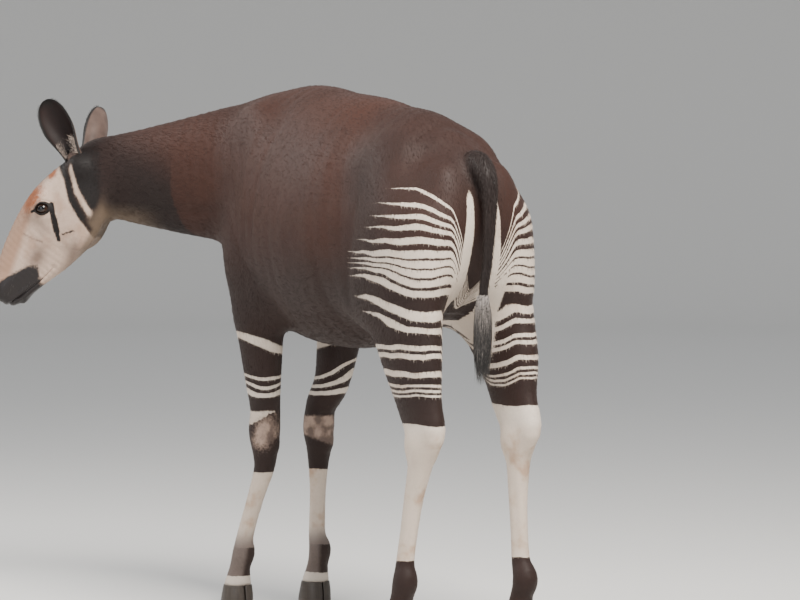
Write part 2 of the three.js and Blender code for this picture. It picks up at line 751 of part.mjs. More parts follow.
// The plug that fills the bottom of the ear and stands on the head
function earPlug(ear) {
  const { root, axis, face, wide } = earFrame(ear);
  const stations = [[8, 24, 15], [24, 25, 16], [40, 21, 13], [58, 12, 7]];
  return loft(stations, ([height, broad, deep]) => Array.from({ length: 12 }, (_, i) => {
    const a = (i / 12) * 2 * Math.PI;
    return root.clone().addScaledVector(axis, height)
      .addScaledVector(wide, broad * Math.cos(a))
      .addScaledVector(face, deep * Math.sin(a) - 16);
  }));
}

function earCut(ear) {
  const { root, axis } = earFrame(ear);
  return { point: root.clone().addScaledVector(axis, 20), normal: axis };
}

function earPart(name, ear) {
  const solid = earShell(ear).add(earPlug(ear));
  return meshOf(name, keepAhead(solid, earCut(ear), GAP), earSkin);
}

// The room above the place where an ear stands on the head
function earRoom(ear) {
  const { root, axis } = earFrame(ear);
  const turn = new THREE.Quaternion().setFromUnitVectors(new THREE.Vector3(0, 0, 1), axis);
  return solidOf(new THREE.CylinderGeometry(52, 52, 60, 20).rotateX(Math.PI / 2)
    .translate(0, 0, 50).applyQuaternion(turn).translate(...root.toArray()));
}

function headPart() {
  let solid = solidOf(netOf(flesh, [740, 220, 730], [1190, 800, 1420], [20, 19, 20]));
  solid = keepAhead(solid, HEAD_CUT);
  for (const ear of Object.values(EARS)) solid = solid.subtract(earRoom(ear));
  for (const side of [1, -1]) {
    solid = solid.add(lids(side)).subtract(nostril(side));
    solid = solid.subtract(ball(eyeCentre(side), EYE.radius + GAP, 14, 10));
  }
  solid = solid.subtract(cord(mouthLine(), (t) => 2.2 + 0.8 * Math.sin(Math.PI * t), 6));
  return meshOf("head", solid, paleFace);
}

function eyePart(name, side) {
  return meshOf(name, ball(eyeCentre(side), EYE.radius, 14, 10), eyeGloss);
}

// Half of a cloven hoof, flat on the floor, with its toe forward
function hoofPart(name, foot, way) {
  const inner = 2.5;
  const stations = [
    { z: 0, toe: 60, heel: -44, half: 42, lead: 12 },
    { z: 7, toe: 61, heel: -46, half: 43.5, lead: 12 },
    { z: 36, toe: 50, heel: -45, half: 43, lead: 6 },
    { z: CORONET_HEIGHT - GAP, toe: 38, heel: -40, half: 41, lead: 2 },
  ];
  const solid = loft(stations, ({ z, toe, heel, half, lead }) => {
    const rim = Array.from({ length: 11 }, (_, i) => {
      const a = Math.PI * (i / 10);
      const reach = Math.cos(a) > 0 ? toe : -heel;
      const x = reach * Math.cos(a);
      const y = inner + (half - inner) * Math.sin(a) ** 0.8 * (1 - 0.12 * Math.max(0, Math.cos(a)));
      return new THREE.Vector3(foot[0] + x + lead * 0.2, foot[1] + way * y, z);
    });
    return rim;
  });
  return meshOf(name, solid, horn);
}

const okapi = new THREE.Group();
okapi.add(torso(), neckPart(), headPart());
okapi.add(earPart("ear_left", EARS.left), earPart("ear_right", EARS.right));
okapi.add(eyePart("eye_left", 1), eyePart("eye_right", -1));
okapi.add(
  legPart("foreleg_left", STANCE.foreLeft, true),
  legPart("foreleg_right", STANCE.foreRight, true),
  legPart("hindleg_left", STANCE.hindLeft, false),
  legPart("hindleg_right", STANCE.hindRight, false),
);
for (const [leg, { side, foot }] of Object.entries(STANCE)) {
  const label = leg.replace(/[A-Z]/, (c) => "_" + c.toLowerCase());
  okapi.add(hoofPart(`hoof_${label}_outer`, foot, side));
  okapi.add(hoofPart(`hoof_${label}_inner`, foot, -side));
}
okapi.add(tailPart(), tuftPart());

// Stands in the middle of its own box, with the soles on the floor
const box = new THREE.Box3().setFromObject(okapi);
const middle = box.getCenter(new THREE.Vector3());
for (const part of okapi.children) part.geometry.translate(-middle.x, -middle.y, -box.min.z);

export default okapi;
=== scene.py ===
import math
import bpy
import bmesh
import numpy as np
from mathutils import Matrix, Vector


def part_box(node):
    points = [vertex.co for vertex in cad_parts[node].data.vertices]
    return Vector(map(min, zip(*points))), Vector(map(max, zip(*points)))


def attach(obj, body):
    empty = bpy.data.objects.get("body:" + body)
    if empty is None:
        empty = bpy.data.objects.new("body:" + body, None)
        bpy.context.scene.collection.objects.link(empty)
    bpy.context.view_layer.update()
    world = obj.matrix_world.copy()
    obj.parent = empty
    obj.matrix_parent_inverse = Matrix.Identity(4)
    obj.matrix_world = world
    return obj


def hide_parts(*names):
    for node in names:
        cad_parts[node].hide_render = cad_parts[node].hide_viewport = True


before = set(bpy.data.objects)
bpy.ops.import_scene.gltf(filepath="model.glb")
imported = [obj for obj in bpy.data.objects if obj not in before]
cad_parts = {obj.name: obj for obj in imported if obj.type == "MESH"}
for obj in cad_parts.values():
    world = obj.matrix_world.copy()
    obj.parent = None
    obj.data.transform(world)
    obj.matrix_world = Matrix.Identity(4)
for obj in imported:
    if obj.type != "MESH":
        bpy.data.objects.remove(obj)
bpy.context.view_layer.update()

# %% [markdown]
# # A standing okapi
#
# The solid model gives the place of every part. Here each part gets the surface that a living
# okapi has: one seamless skin with its velvet coat, a wet eye between real lids, horn hooves,
# a haired ear and a tail tuft.

MILLIMETRE = 0.001

# %% [markdown]
# ## Directions of the pose
#
# Everything is worked out in the animal's own space, in millimetres: X forward, Y to its left,
# Z up, with the origin on the floor under the middle of the trunk. The neck swings to the
# left and the head hangs, so the head has directions of its own: along the nose, to its left,
# and out of the bridge of the nose. The eye of the solid model tells where that space lies in
# the finished scene.

# %% Directions of the neck and the head
NECK_YAW = math.radians(33)
HEAD_YAW = math.radians(50)
HEAD_PITCH = math.radians(57)
POLL = np.array([868.0, 366.0, 1272.0])
HEAD_LENGTH = 505.0
CORONET_HEIGHT = 62.0
ALONG_HEAD = np.array([
    math.cos(HEAD_PITCH) * math.cos(HEAD_YAW),
    math.cos(HEAD_PITCH) * math.sin(HEAD_YAW),
    -math.sin(HEAD_PITCH)])
LEFT_OF_HEAD = np.array([-math.sin(HEAD_YAW), math.cos(HEAD_YAW), 0.0])
OVER_HEAD = np.cross(ALONG_HEAD, LEFT_OF_HEAD)
HEAD_TURN = np.stack([ALONG_HEAD, LEFT_OF_HEAD, OVER_HEAD])
EYE = {"s": 192.0, "l": 66.0, "n": 52.0, "radius": 21.0}


def on_head(s, l, n):
    return POLL + s * ALONG_HEAD + l * LEFT_OF_HEAD + n * OVER_HEAD


def head_place(points):
    """Distance along the head, to its left and out of its bridge."""
    return (points - POLL) @ HEAD_TURN.T


low, high = (np.array(corner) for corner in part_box("eye_left"))
SHIFT = (low + high) / 2 / MILLIMETRE - on_head(EYE["s"], EYE["l"], EYE["n"])
SHIFT[2] = 0.0
print("animal's own space lies at", SHIFT.round(1))

# %% [markdown]
# ## The body as one smooth field
#
# A body of muscle has no edges, so it's hard to build from flat faces. Instead we describe it
# as a field: a number at every point of space, negative inside and positive outside. Each limb
# is a run of oval sections along a curve, each muscle is an oval lump, and a soft minimum
# melts them together the way flesh does. The surface where the number is zero is the animal.

# %% Ovals, runs and lumps
FAR = 1e4
REACH = 105.0


def oval(u, v, w, side, deep, long):
    near = np.sqrt((u / side) ** 2 + (v / deep) ** 2 + (w / long) ** 2)
    steep = np.sqrt((u / side ** 2) ** 2 + (v / deep ** 2) ** 2 + (w / long ** 2) ** 2)
    return near * (near - 1) / np.maximum(steep, 1e-6)


def soft_union(a, b, width):
    h = np.maximum(width - np.abs(a - b), 0) / width
    return np.minimum(a, b) - h * h * width / 4


def smooth_curve(stations, steps=4):
    """Points along a Catmull-Rom curve through the stations."""
    p = np.asarray(stations, float)
    p = np.vstack([2 * p[0] - p[1], p, 2 * p[-1] - p[-2]])
    found = []
    for a, b, c, d in zip(p, p[1:], p[2:], p[3:]):
        for t in np.arange(steps) / steps:
            found.append(b + 0.5 * t * ((c - a) + t * ((2 * a - 5 * b + 4 * c - d)
                         + t * (3 * (b - c) + d - a))))
    return np.array(found + [p[-2]])


def run(stations, side, width):
    """Oval sections [x, y, z, deep, side] along a curve."""
    knots = smooth_curve(stations)

    def value(points):
        least = np.full(len(points), FAR)
        for a, b in zip(knots, knots[1:]):
            start, along = a[:3], b[:3] - a[:3]
            length = np.linalg.norm(along)
            along = along / length
            across = side - along * (side @ along)
            across /= np.linalg.norm(across)
            front = np.cross(along, across)
            middle = start + along * length / 2
            reach = length / 2 + max(a[3], a[4], b[3], b[4]) + REACH
            close = np.nonzero(((points - middle) ** 2).sum(1) < reach ** 2)[0]
            if not len(close):
                continue
            offset = points[close] - start
            share = np.clip(offset @ along / length, 0, 1)
            offset -= np.outer(share * length, along)
            deep = a[3] + (b[3] - a[3]) * share
            wide = a[4] + (b[4] - a[4]) * share
            here = oval(offset @ across, offset @ front, offset @ along,
                        wide, deep, np.minimum(deep, wide))
            least[close] = np.minimum(least[close], here)
        return least

    return value, width


def turned_lump(middle, radii, back, width):
    """An oval lump; back turns a place into the lump's own directions."""
    middle = np.asarray(middle, float)

    def value(points):
        found = np.full(len(points), FAR)
        reach = max(radii) + REACH
        close = np.nonzero(((points - middle) ** 2).sum(1) < reach ** 2)[0]
        q = (points[close] - middle) @ back.T
        found[close] = oval(q[:, 0], q[:, 1], q[:, 2], *radii)
        return found

    return value, width


def lump(centre, radii, turn, width):
    a, b, c = (math.radians(t) for t in turn)
    spin = Matrix.Rotation(c, 3, "Z") @ Matrix.Rotation(b, 3, "Y") @ Matrix.Rotation(a, 3, "X")
    return turned_lump(centre, radii, np.array(spin).T, width)


def pair_of(centre, radii, turn, width):
    x, y, z = centre
    a, b, c = turn
    return [lump(centre, radii, turn, width), lump([x, -y, z], radii, [-a, b, -c], width)]


def head_lump(s, l, n, radii, slope, width):
    tilt = np.array(Matrix.Rotation(math.radians(slope), 3, "Y"))
    return turned_lump(on_head(s, l, n), radii, (HEAD_TURN.T @ tilt).T, width)


def head_pair(s, l, n, radii, slope, width):
    return [head_lump(s, l, n, radii, slope, width), head_lump(s, -l, n, radii, slope, width)]


# %% [markdown]
# ## Trunk, neck and head
#
# An okapi is built like a short-necked giraffe: high withers, a back that falls to the croup,
# a deep round barrel and a long tapering head. The numbers below are heights and half widths
# at named places, the same ones that the solid model was made from.

# %% Trunk and neck
LEFTWARD = np.array([0.0, 1.0, 0.0])
BACK, CROUP, BELLY = 1498, 1408, 760


def rib(x, top, bottom, half):
    return [x, 0, (top + bottom) / 2, (top - bottom) / 2, half]


trunk = run([
    rib(-500, CROUP - 62, CROUP - 400, 92),
    rib(-430, CROUP - 20, CROUP - 480, 132),
    rib(-340, CROUP + 8, CROUP - 560, 168),
    rib(-210, CROUP + 28, BELLY + 56, 212),
    rib(-60, CROUP + 52, BELLY + 4, 248),
    rib(110, BACK - 22, BELLY, 240),
    rib(260, BACK, BELLY + 30, 200),
    rib(370, BACK - 30, BELLY + 90, 165),
    rib(445, BACK - 95, BELLY + 190, 125),
], LEFTWARD, 60)

trunk_muscles = [
    *pair_of([300, 128, 1190], [120, 62, 250], [0, 14, 0], 90),
    *pair_of([400, 122, 1035], [84, 66, 120], [0, -18, 0], 80),
    *pair_of([-335, 120, 1280], [90, 50, 56], [12, 10, 0], 100),
    *pair_of([-425, 132, 1060], [140, 94, 190], [-8, 12, 0], 90),
    *pair_of([-522, 84, 1110], [66, 62, 160], [0, -4, 0], 70),
    *pair_of([-290, 142, 930], [110, 60, 130], [0, 40, 0], 80),
    lump([405, 0, 970], [90, 96, 130], [0, 20, 0], 90),
]


def neck_section(distance, z, deep, side):
    return [330 + distance * math.cos(NECK_YAW), distance * math.sin(NECK_YAW), z, deep, side]


neck = run([
    neck_section(-60, 1250, 205, 120),
    neck_section(60, 1252, 205, 118),
    neck_section(200, 1240, 198, 104),
    neck_section(340, 1234, 174, 90),
    neck_section(480, 1231, 146, 78),
    neck_section(600, 1231, 122, 72),
    neck_section(660, 1225, 110, 68),
], np.array([-math.sin(NECK_YAW), math.cos(NECK_YAW), 0]), 70)


# %% Head
def head_section(s, bridge, jaw, half):
    return [*on_head(s, 0, (bridge + jaw) / 2), (bridge - jaw) / 2, half]


head = run([
    head_section(-5, 46, -100, 60),
    head_section(60, 80, -114, 72),
    head_section(130, 106, -120, 78),
    head_section(200, 119, -116, 76),
    head_section(280, 116, -98, 62),
    head_section(350, 106, -72, 51),
    head_section(415, 88, -46, 44),
    head_section(HEAD_LENGTH - 45, 64, -32, 38),
], LEFT_OF_HEAD, 40)

head_forms = [
    *head_pair(EYE["s"] - 6, 60, EYE["n"] + 28, [42, 18, 14], 0, 24),
    *head_pair(160, 52, -70, [80, 24, 48], 16, 40),
    *head_pair(EYE["s"], 56, EYE["n"] - 2, [38, 22, 28], 0, 22),
    *head_pair(34, 52, 32, [34, 28, 34], 0, 30),
    *head_pair(HEAD_LENGTH - 46, 24, 34, [36, 20, 26], 0, 24),
    head_lump(HEAD_LENGTH - 88, 0, -22, [52, 27, 18], 18, 20),
]

# %% [markdown]
# ## Legs and tail
#
# Each leg is one run from the shoulder or the hip down to the coronet, where the hoof begins.
# The knee, the hock and the fetlock swell and the cannon between them is thin. The left hind
# leg is set forward and the left foreleg a little ahead of the right one, as the animal
# stands.


# %% Legs
def between(a, b, share):
    return a + (b - a) * share


def foreleg(side, knee, foot):
    return run([
        [350, side * 116, 1120, 120, 62],
        [342, side * 134, 960, 122, 66],
        [340, side * 138, 860, 100, 64],
        [336, side * 132, 780, 84, 58],
        [348, side * 116, 650, 64, 47],
        [knee[0] - 4, knee[1] + side * 3, 575, 50, 43],
        [knee[0], knee[1], 515, 48, 43],
        [knee[0] + 2, knee[1], 465, 42, 39],
        [knee[0] + 6, knee[1], 405, 32, 31],
        [(knee[0] * 2 + foot[0]) / 3, (knee[1] * 2 + foot[1]) / 3, 320, 27, 25],
        [(knee[0] + foot[0] * 3) / 4 - 6, (knee[1] + foot[1] * 3) / 4, 205, 27, 26],
        [foot[0] - 32, foot[1] - side * 3, 158, 35, 33],
        [foot[0] - 15, foot[1], 112, 30, 32],
        [foot[0], foot[1], CORONET_HEIGHT - 12, 40, 44],
    ], LEFTWARD, 46)


def hindleg(side, gaskin, hock, foot):
    def down(share, offset):
        return between(hock[0], foot[0], share) + offset

    def across(share):
        return between(hock[1], foot[1], share)

    return run([
        [-420, side * 120, 1100, 160, 90],
        [-425, side * 142, 960, 162, 86],
        [-440, side * 146, 880, 144, 78],
        [gaskin[0], gaskin[1], 745, 112, 62],
        [(gaskin[0] + hock[0]) / 2 - 4, hock[1] + side * 2, 650, 90, 47],
        [hock[0] - 8, hock[1], hock[2] + 36, 74, 41],
        [hock[0] + 2, hock[1], hock[2] - 14, 52, 38],
        [down(0.12, 2), across(0.12), hock[2] - 70, 38, 32],
        [down(0.35, 2), across(0.35), hock[2] - 150, 31, 27],
        [down(0.6, -4), across(0.6), 290, 28, 25],
        [down(0.82, -12), across(0.85), 205, 29, 27],
        [foot[0] - 32, foot[1], 158, 38, 35],
        [foot[0] - 15, foot[1], 112, 31, 33],
        [foot[0], foot[1], CORONET_HEIGHT - 12, 41, 45],
    ], LEFTWARD, 50)


FORE_LEFT = {"side": 1, "knee": [366, 98], "foot": [464, 134]}
FORE_RIGHT = {"side": -1, "knee": [392, -100], "foot": [424, -104]}
HIND_LEFT = {"side": 1, "gaskin": [-480, 148], "hock": [-520, 143, 535], "foot": [-428, 160]}
HIND_RIGHT = {"side": -1, "gaskin": [-500, -150], "hock": [-556, -142, 540],
              "foot": [-545, -150]}


def foreleg_bones(side, knee, foot):
    return [
        lump([knee[0] + 16, knee[1], 510], [26, 36, 52], [0, 0, 0], 24),
        lump([knee[0] - 30, knee[1], 470], [20, 24, 28], [0, 0, 0], 20),
        lump([262, side * 130, 885], [52, 42, 66], [0, 24, 0], 50),
    ]


def hindleg_bones(side, gaskin, hock, foot):
    return [
        lump([hock[0] - 56, hock[1], hock[2] + 34], [24, 22, 46], [0, 8, 0], 26),
        lump([hock[0] + 4, hock[1], hock[2] - 6], [44, 41, 48], [0, 0, 0], 30),
    ]


# %% Tail and the whole field
tail = run([
    [-556, 0, 1292, 22, 22],
    [-580, 0, 1276, 30, 30],
    [-606, 0, 1246, 29, 30],
    [-622, 0, 1206, 23, 25],
    [-630, 3, 1140, 18, 20],
    [-630, 10, 1030, 14, 16],
    [-626, 20, 940, 12, 14],
    [-625, 25, 850, 9, 10],
], LEFTWARD, 24)

ELEMENTS = [
    trunk, *trunk_muscles, neck, head, *head_forms,
    foreleg(**FORE_LEFT), foreleg(**FORE_RIGHT), hindleg(**HIND_LEFT), hindleg(**HIND_RIGHT),
    *foreleg_bones(**FORE_LEFT), *foreleg_bones(**FORE_RIGHT),
    *hindleg_bones(**HIND_LEFT), *hindleg_bones(**HIND_RIGHT),
    tail,
]
COAT_DEPTH = 2.0


def flesh(points):
    least = np.full(len(points), FAR)
    for value, width in ELEMENTS:
        least = soft_union(least, value(points), width)
    return least


def skin_field(points):
    """The skin lies inside the solids by the depth of the coat, and ends at the hooves."""
    return np.maximum(flesh(points) + COAT_DEPTH, CORONET_HEIGHT - 3 - points[:, 2])


# %% [markdown]
# ## From the field to a mesh
#
# A net of small cells is laid through the space, one vertex goes into every cell that the
# surface crosses, and neighbouring vertices are joined into quads. Most of the space is far
# from the animal, so a coarse net finds the cells that matter first, and only those are
# filled with fine ones. Then the vertices are evened out and moved exactly onto the surface.

# %% Net of cells
CELL = 9.0
COARSE = 4
NET_LOW = np.array([-700.0, -340.0, 30.0])
NET_HIGH = np.array([1180.0, 720.0, 1560.0])


def grid_values():
    """Field values on the fine net, worked out only near the surface."""
    big = CELL * COARSE
    n = np.ceil((NET_HIGH - NET_LOW) / big).astype(int) + 1
    axes = [NET_LOW[k] + big * np.arange(n[k]) for k in range(3)]
    coarse = np.stack(np.meshgrid(*axes, indexing="ij"), -1).reshape(-1, 3)
    rough = flesh(coarse).reshape(n)
    corners = np.stack([rough[a:n[0] - 1 + a, b:n[1] - 1 + b, c:n[2] - 1 + c]
                        for a in (0, 1) for b in (0, 1) for c in (0, 1)])
    near = np.abs(corners).min(0) < big * 1.1
    fine_n = (n - 1) * COARSE + 1
    values = np.repeat(np.repeat(np.repeat(rough, COARSE, 0), COARSE, 1), COARSE, 2)
    values = values[:fine_n[0], :fine_n[1], :fine_n[2]].copy()
    wanted = np.zeros(fine_n, bool)
    block = np.repeat(np.repeat(np.repeat(near, COARSE, 0), COARSE, 1), COARSE, 2)
    for a in (0, 1):
        for b in (0, 1):
            for c in (0, 1):
                wanted[a:a + block.shape[0], b:b + block.shape[1], c:c + block.shape[2]] |= block
    places = np.argwhere(wanted)
    values[wanted] = skin_field(NET_LOW + CELL * places)
    return values


def neighbours(values, axis):
    """The values at the two ends of every edge of the net along one axis."""
    behind = [slice(None)] * 3
    behind[axis] = slice(0, -1)
    ahead = [slice(None)] * 3
    ahead[axis] = slice(1, None)
    return values[tuple(behind)], values[tuple(ahead)]


def crossed_cells(values):
    """A vertex for each crossed cell, at the mean of the crossings on its edges."""
    n = np.array(values.shape)
    total = np.zeros((*(n - 1), 3))
    count = np.zeros(n - 1)
    for axis in range(3):
        a, b = neighbours(values, axis)
        crossing = (a < 0) != (b < 0)
        where = np.argwhere(crossing)
        share = a[crossing] / (a[crossing] - b[crossing])
        point = where.astype(float)
        point[:, axis] += share
        others = [k for k in range(3) if k != axis]
        for u in (0, 1):
            for v in (0, 1):
                cell = where.copy()
                cell[:, others[0]] -= u
                cell[:, others[1]] -= v
                keep = (cell >= 0).all(1) & (cell < n - 1).all(1)
                spot = tuple(cell[keep].T)
                np.add.at(total, spot, point[keep])
                np.add.at(count, spot, 1)
    used = count > 0
    number = np.full(n - 1, -1)
    number[used] = np.arange(used.sum())
    points = NET_LOW + CELL * total[used] / count[used][:, None]
    return points, number


def quads_of(values, number):
    """A quad across every crossed edge, turned so that it faces out of the animal."""
    faces = []
    for axis in range(3):
        a, b = neighbours(values, axis)
        where = np.argwhere((a < 0) != (b < 0))
        inside_first = a[tuple(where.T)] < 0
        u, v = (axis + 1) % 3, (axis + 2) % 3
        ring = []
        for du, dv in ((0, 0), (1, 0), (1, 1), (0, 1)):
            cell = where.copy()
            cell[:, u] -= du
            cell[:, v] -= dv
            ring.append(number[tuple(cell.T)])
        ring = np.stack(ring, 1)
        ring[~inside_first] = ring[~inside_first][:, ::-1]
        faces.append(ring)
    return np.vstack(faces)


def slope_of(field, points, here, small=0.6):
    rise = []
    for k in range(3):
        moved = points.copy()
        moved[:, k] += small
        rise.append((field(moved) - here) / small)
    return np.stack(rise, 1)


def onto_surface(field, points, limit):
    """One Newton step towards the field's zero, no longer than the limit."""
    here = field(points)
    slope = slope_of(field, points, here)
    step = here / np.maximum((slope ** 2).sum(1), 0.2)
    return points - slope * np.clip(step, -limit, limit)[:, None]


def evened(points, edges, share):
    total = np.zeros_like(points)
    count = np.zeros(len(points))
    for a, b in (edges.T, edges.T[::-1]):
        np.add.at(total, a, points[b])
        np.add.at(count, a, 1)
    return points + share * (total / np.maximum(count, 1)[:, None] - points)


values = grid_values()
points, number = crossed_cells(values)
quads = quads_of(values, number)
print("body net:", len(points), "vertices,", len(quads), "quads")

# %% Settling the net on the surface
sides = np.sort(np.vstack([quads[:, [i, (i + 1) % 4]] for i in range(4)]), 1)
edges = np.unique(sides, axis=0)
for _ in range(3):
    points = evened(points, edges, 0.5)
    points = onto_surface(skin_field, points, CELL / 2)
print("furthest from the surface, in mm:", np.abs(skin_field(points)).max().round(2))

# %% [markdown]
# ## A finer net for the head
#
# Nine millimetres between vertices is enough for a flank, but not for an eyelid. Cutting the
# quads of the head in two, then those of the face again, and those round the eyes once more,
# puts the vertices where the small forms are, in one mesh without a seam.

# %% Mesh of the whole skin
LIFT_OFF = SHIFT * MILLIMETRE


def mesh_from(points, faces):
    made = bmesh.new()
    corners = [made.verts.new(p) for p in points]
    for face in faces:
        made.faces.new([corners[i] for i in face])
    made.verts.index_update()
    return made


def refine(made, wanted):
    """Cuts every edge whose ends are both wanted."""
    made.verts.ensure_lookup_table()
    places = np.array([v.co[:] for v in made.verts])
    keep = wanted(places)
    chosen = [e for e in made.edges if keep[e.verts[0].index] and keep[e.verts[1].index]]
    bmesh.ops.subdivide_edges(made, edges=chosen, cuts=1, use_grid_fill=True)
    made.verts.index_update()
    return made


def settled(made, moved, limit, rounds=2):
    """Evens out the chosen vertices and puts them back on the surface."""
    made.verts.ensure_lookup_table()
    places = np.array([v.co[:] for v in made.verts])
    pairs = np.array([[e.verts[0].index, e.verts[1].index] for e in made.edges])
    keep = moved(places)
    for _ in range(rounds):
        eased = evened(places, pairs, 0.4)
        places[keep] = eased[keep]
        places[keep] = onto_surface(skin_field, places[keep], limit)
    for vertex, place in zip(made.verts, places):
        vertex.co = place
    return made


def on_the_head(places):
    s, l, n = head_place(places).T
    return (s > 20) & (s < 620) & (np.abs(l) < 130) & (np.abs(n) < 200) & (places[:, 0] > 700)


def near_an_eye(s, l, n, radius):
    return ((s - EYE["s"]) ** 2 + (n - EYE["n"]) ** 2 < radius ** 2) & (np.abs(l) > 30)


def on_the_face(places):
    s, l, n = head_place(places).T
    lips = (s > 305) & (np.abs(mouth_gap(s, n)) < 22)
    nose = (s > 445) & (n > 15)
    return on_the_head(places) & (lips | nose | near_an_eye(s, l, n, 42))


def round_the_eyes(places):
    s, l, n = head_place(places).T
    slit = (s > 310) & (np.abs(mouth_gap(s, n)) < 6)
    return on_the_head(places) & (near_an_eye(s, l, n, 30) | slit)


# %% The line of the mouth, seen from the side
MOUTH_CORNER = (326.0, -62.0)
MOUTH_FRONT = (540.0, 18.0)


def mouth_gap(s, n):
    """How far a place lies above or below the line where the lips meet."""
    share = np.clip((s - MOUTH_CORNER[0]) / (MOUTH_FRONT[0] - MOUTH_CORNER[0]), 0, 1)
    line = between(MOUTH_CORNER[1], MOUTH_FRONT[1], share) - 8 * np.sin(np.pi * share ** 0.8)
    behind = np.maximum(MOUTH_CORNER[0] - s, 0)
    gap = n - line
    return np.where(behind > 0, np.sign(gap + 1e-6) * np.hypot(gap, behind), gap)


skin_net = mesh_from(points, quads)
refine(skin_net, on_the_head)
settled(skin_net, on_the_head, 3)
refine(skin_net, on_the_face)
settled(skin_net, on_the_face, 2)
refine(skin_net, round_the_eyes)
settled(skin_net, round_the_eyes, 1, rounds=1)
bmesh.ops.triangulate(skin_net, faces=[f for f in skin_net.faces if len(f.verts) > 4])
skin_net.normal_update()
skin_net.verts.ensure_lookup_table()
print("skin:", len(skin_net.verts), "vertices,", len(skin_net.faces), "faces")

# %% [markdown]
# ## Lids, lips and nostrils
#
# The face is modelled like clay: each vertex is pushed in or out by how far it lies from the
# feature. Lids are a cap that hugs the eyeball and is cut away in an almond, lips are two
# soft rolls beside a groove, and a nostril is a slanting comma pressed into the muzzle.


# %% Pushing the small forms of the face
def bell(distance, width):
    return np.exp(-(distance / width) ** 2)


def smooth(low, high, x):
    t = np.clip((np.asarray(x, float) - low) / (high - low), 0, 1)
    return t * t * (3 - 2 * t)


def eye_frame(side):
    """Centre of the eye, and the directions out of it, along it and up it."""
    out = LEFT_OF_HEAD * side + OVER_HEAD * 0.1
    out /= np.linalg.norm(out)
    along = ALONG_HEAD - out * (ALONG_HEAD @ out)
    along /= np.linalg.norm(along)
    up = np.cross(along, out) * side
    return on_head(EYE["s"], side * EYE["l"], EYE["n"]), out, along, up


EYE_SLANT = math.radians(44)
EYE_LONG, EYE_TALL = 19.0, 14.0
SOCKET_FLOOR = 7.0


def slanted(a, b):
    """The slit of the eye lies nearly level while the head hangs, so it slants on the head."""
    level = a * math.cos(EYE_SLANT) + b * math.sin(EYE_SLANT)
    rise = -a * math.sin(EYE_SLANT) + b * math.cos(EYE_SLANT)
    return level, rise


def almond(level, rise):
    """Below one inside the opening of the lids, which draws out towards the nose."""
    front = np.maximum(level, 0) / EYE_LONG
    tall = EYE_TALL * (1 - 0.35 * front ** 2)
    return np.hypot(level / EYE_LONG, (rise + 1.5 * front) / tall)


def shape_lids(places, side):
    centre, out, along, up = eye_frame(side)
    offset = places - centre
    a, b, height = offset @ along, offset @ up, offset @ out
    near = (np.hypot(a, b) < 46) & (height > -20)
    across = np.hypot(a / 1.12, b)
    cap = np.sqrt(np.maximum((EYE["radius"] + 3.2) ** 2 - np.minimum(across, 23.9) ** 2, 0))
    hug = 1 - smooth(17, 30, across)
    lid = np.maximum(height, cap * hug - 30 * (1 - hug))
    level, rise = slanted(a, b)
    inside = almond(level, rise)
    rim = 1.5 * bell(inside - 1.14, 0.12)
    crease = -1.8 * bell(inside - 1.62, 0.13) * smooth(-6, 4, rise)
    under = -1.0 * bell(inside - 1.75, 0.12) * smooth(4, -6, rise)
    shaped = lid + rim + crease + under
    shaped = between(shaped, SOCKET_FLOOR, 1 - smooth(0.94, 1.06, inside))
    shaped = np.where(near, shaped, height)
    return places + np.outer(shaped - height, out)


def shape_mouth(places, normals):
    s, l, n = head_place(places).T
    gap = mouth_gap(s, n)
    on = smooth(300, 330, s) * on_the_head(places)
    groove = -4.5 * bell(gap, 1.9) * smooth(318, 334, s)
    upper = 3.0 * bell(gap - 8, 6) * smooth(340, 400, s)
    lower = 3.2 * bell(gap + 8, 6) * smooth(340, 400, s)
    corner = -2.5 * bell(np.hypot(s - MOUTH_CORNER[0] + 4, n - MOUTH_CORNER[1]), 7)
    return places + normals * (on * (groove + upper + lower) + corner * on_the_head(places))[:, None]


def shape_nose(places, normals):
    s, l, n = head_place(places).T
    side = np.abs(l)
    turn = math.radians(-28)
    ahead, above = s - 474, n - 44
    u = ahead * math.cos(turn) + above * math.sin(turn)
    v = -ahead * math.sin(turn) + above * math.cos(turn)
    curl = v - 0.03 * u ** 2
    slit = -9 * bell(np.hypot(u / 11, curl / 4.2), 1) * (side > 8)
    wing = 2.6 * bell(np.hypot(u / 15, (curl - 9) / 5), 1) * (side > 8)
    philtrum = -2.2 * bell(side, 2.6) * smooth(478, 495, s) * (n > 0)
    return places + normals * ((slit + wing + philtrum) * on_the_head(places))[:, None]


def shape_cheek(places, normals):
    """Cheekbone ridge below the eye, the hollow in front of it and the edge of the jaw."""
    s, l, n = head_place(places).T
    ridge = 3.5 * bell(n - (14 - (s - 200) * 0.12), 12) * smooth(150, 190, s) * (1 - smooth(280, 350, s))
    hollow = -4.0 * bell(np.hypot((s - 292) / 46, (n - 20) / 24), 1)
    cheek = 3.5 * bell(np.hypot((s - 120) / 60, (n + 40) / 46), 1)
    return places + normals * ((ridge + hollow + cheek) * on_the_head(places))[:, None]


places = np.array([v.co[:] for v in skin_net.verts])
normals = np.array([v.normal[:] for v in skin_net.verts])
places = shape_cheek(places, normals)
places = shape_mouth(places, normals)
places = shape_nose(places, normals)
places = shape_lids(places, 1)
places = shape_lids(places, -1)

# %% [markdown]
# ## Muscles under a thin coat
#
# An okapi's short coat shows what lies beneath: the edge of the shoulder blade, the ribs as a
# faint ripple, tendons down the cannons and soft folds where the neck meets the shoulder.
# They're a few millimetres deep, so they're pushed into the finished mesh.


# %% Relief of the body
def top_of_cannon(leg):
    return leg.get("knee", leg.get("hock"))


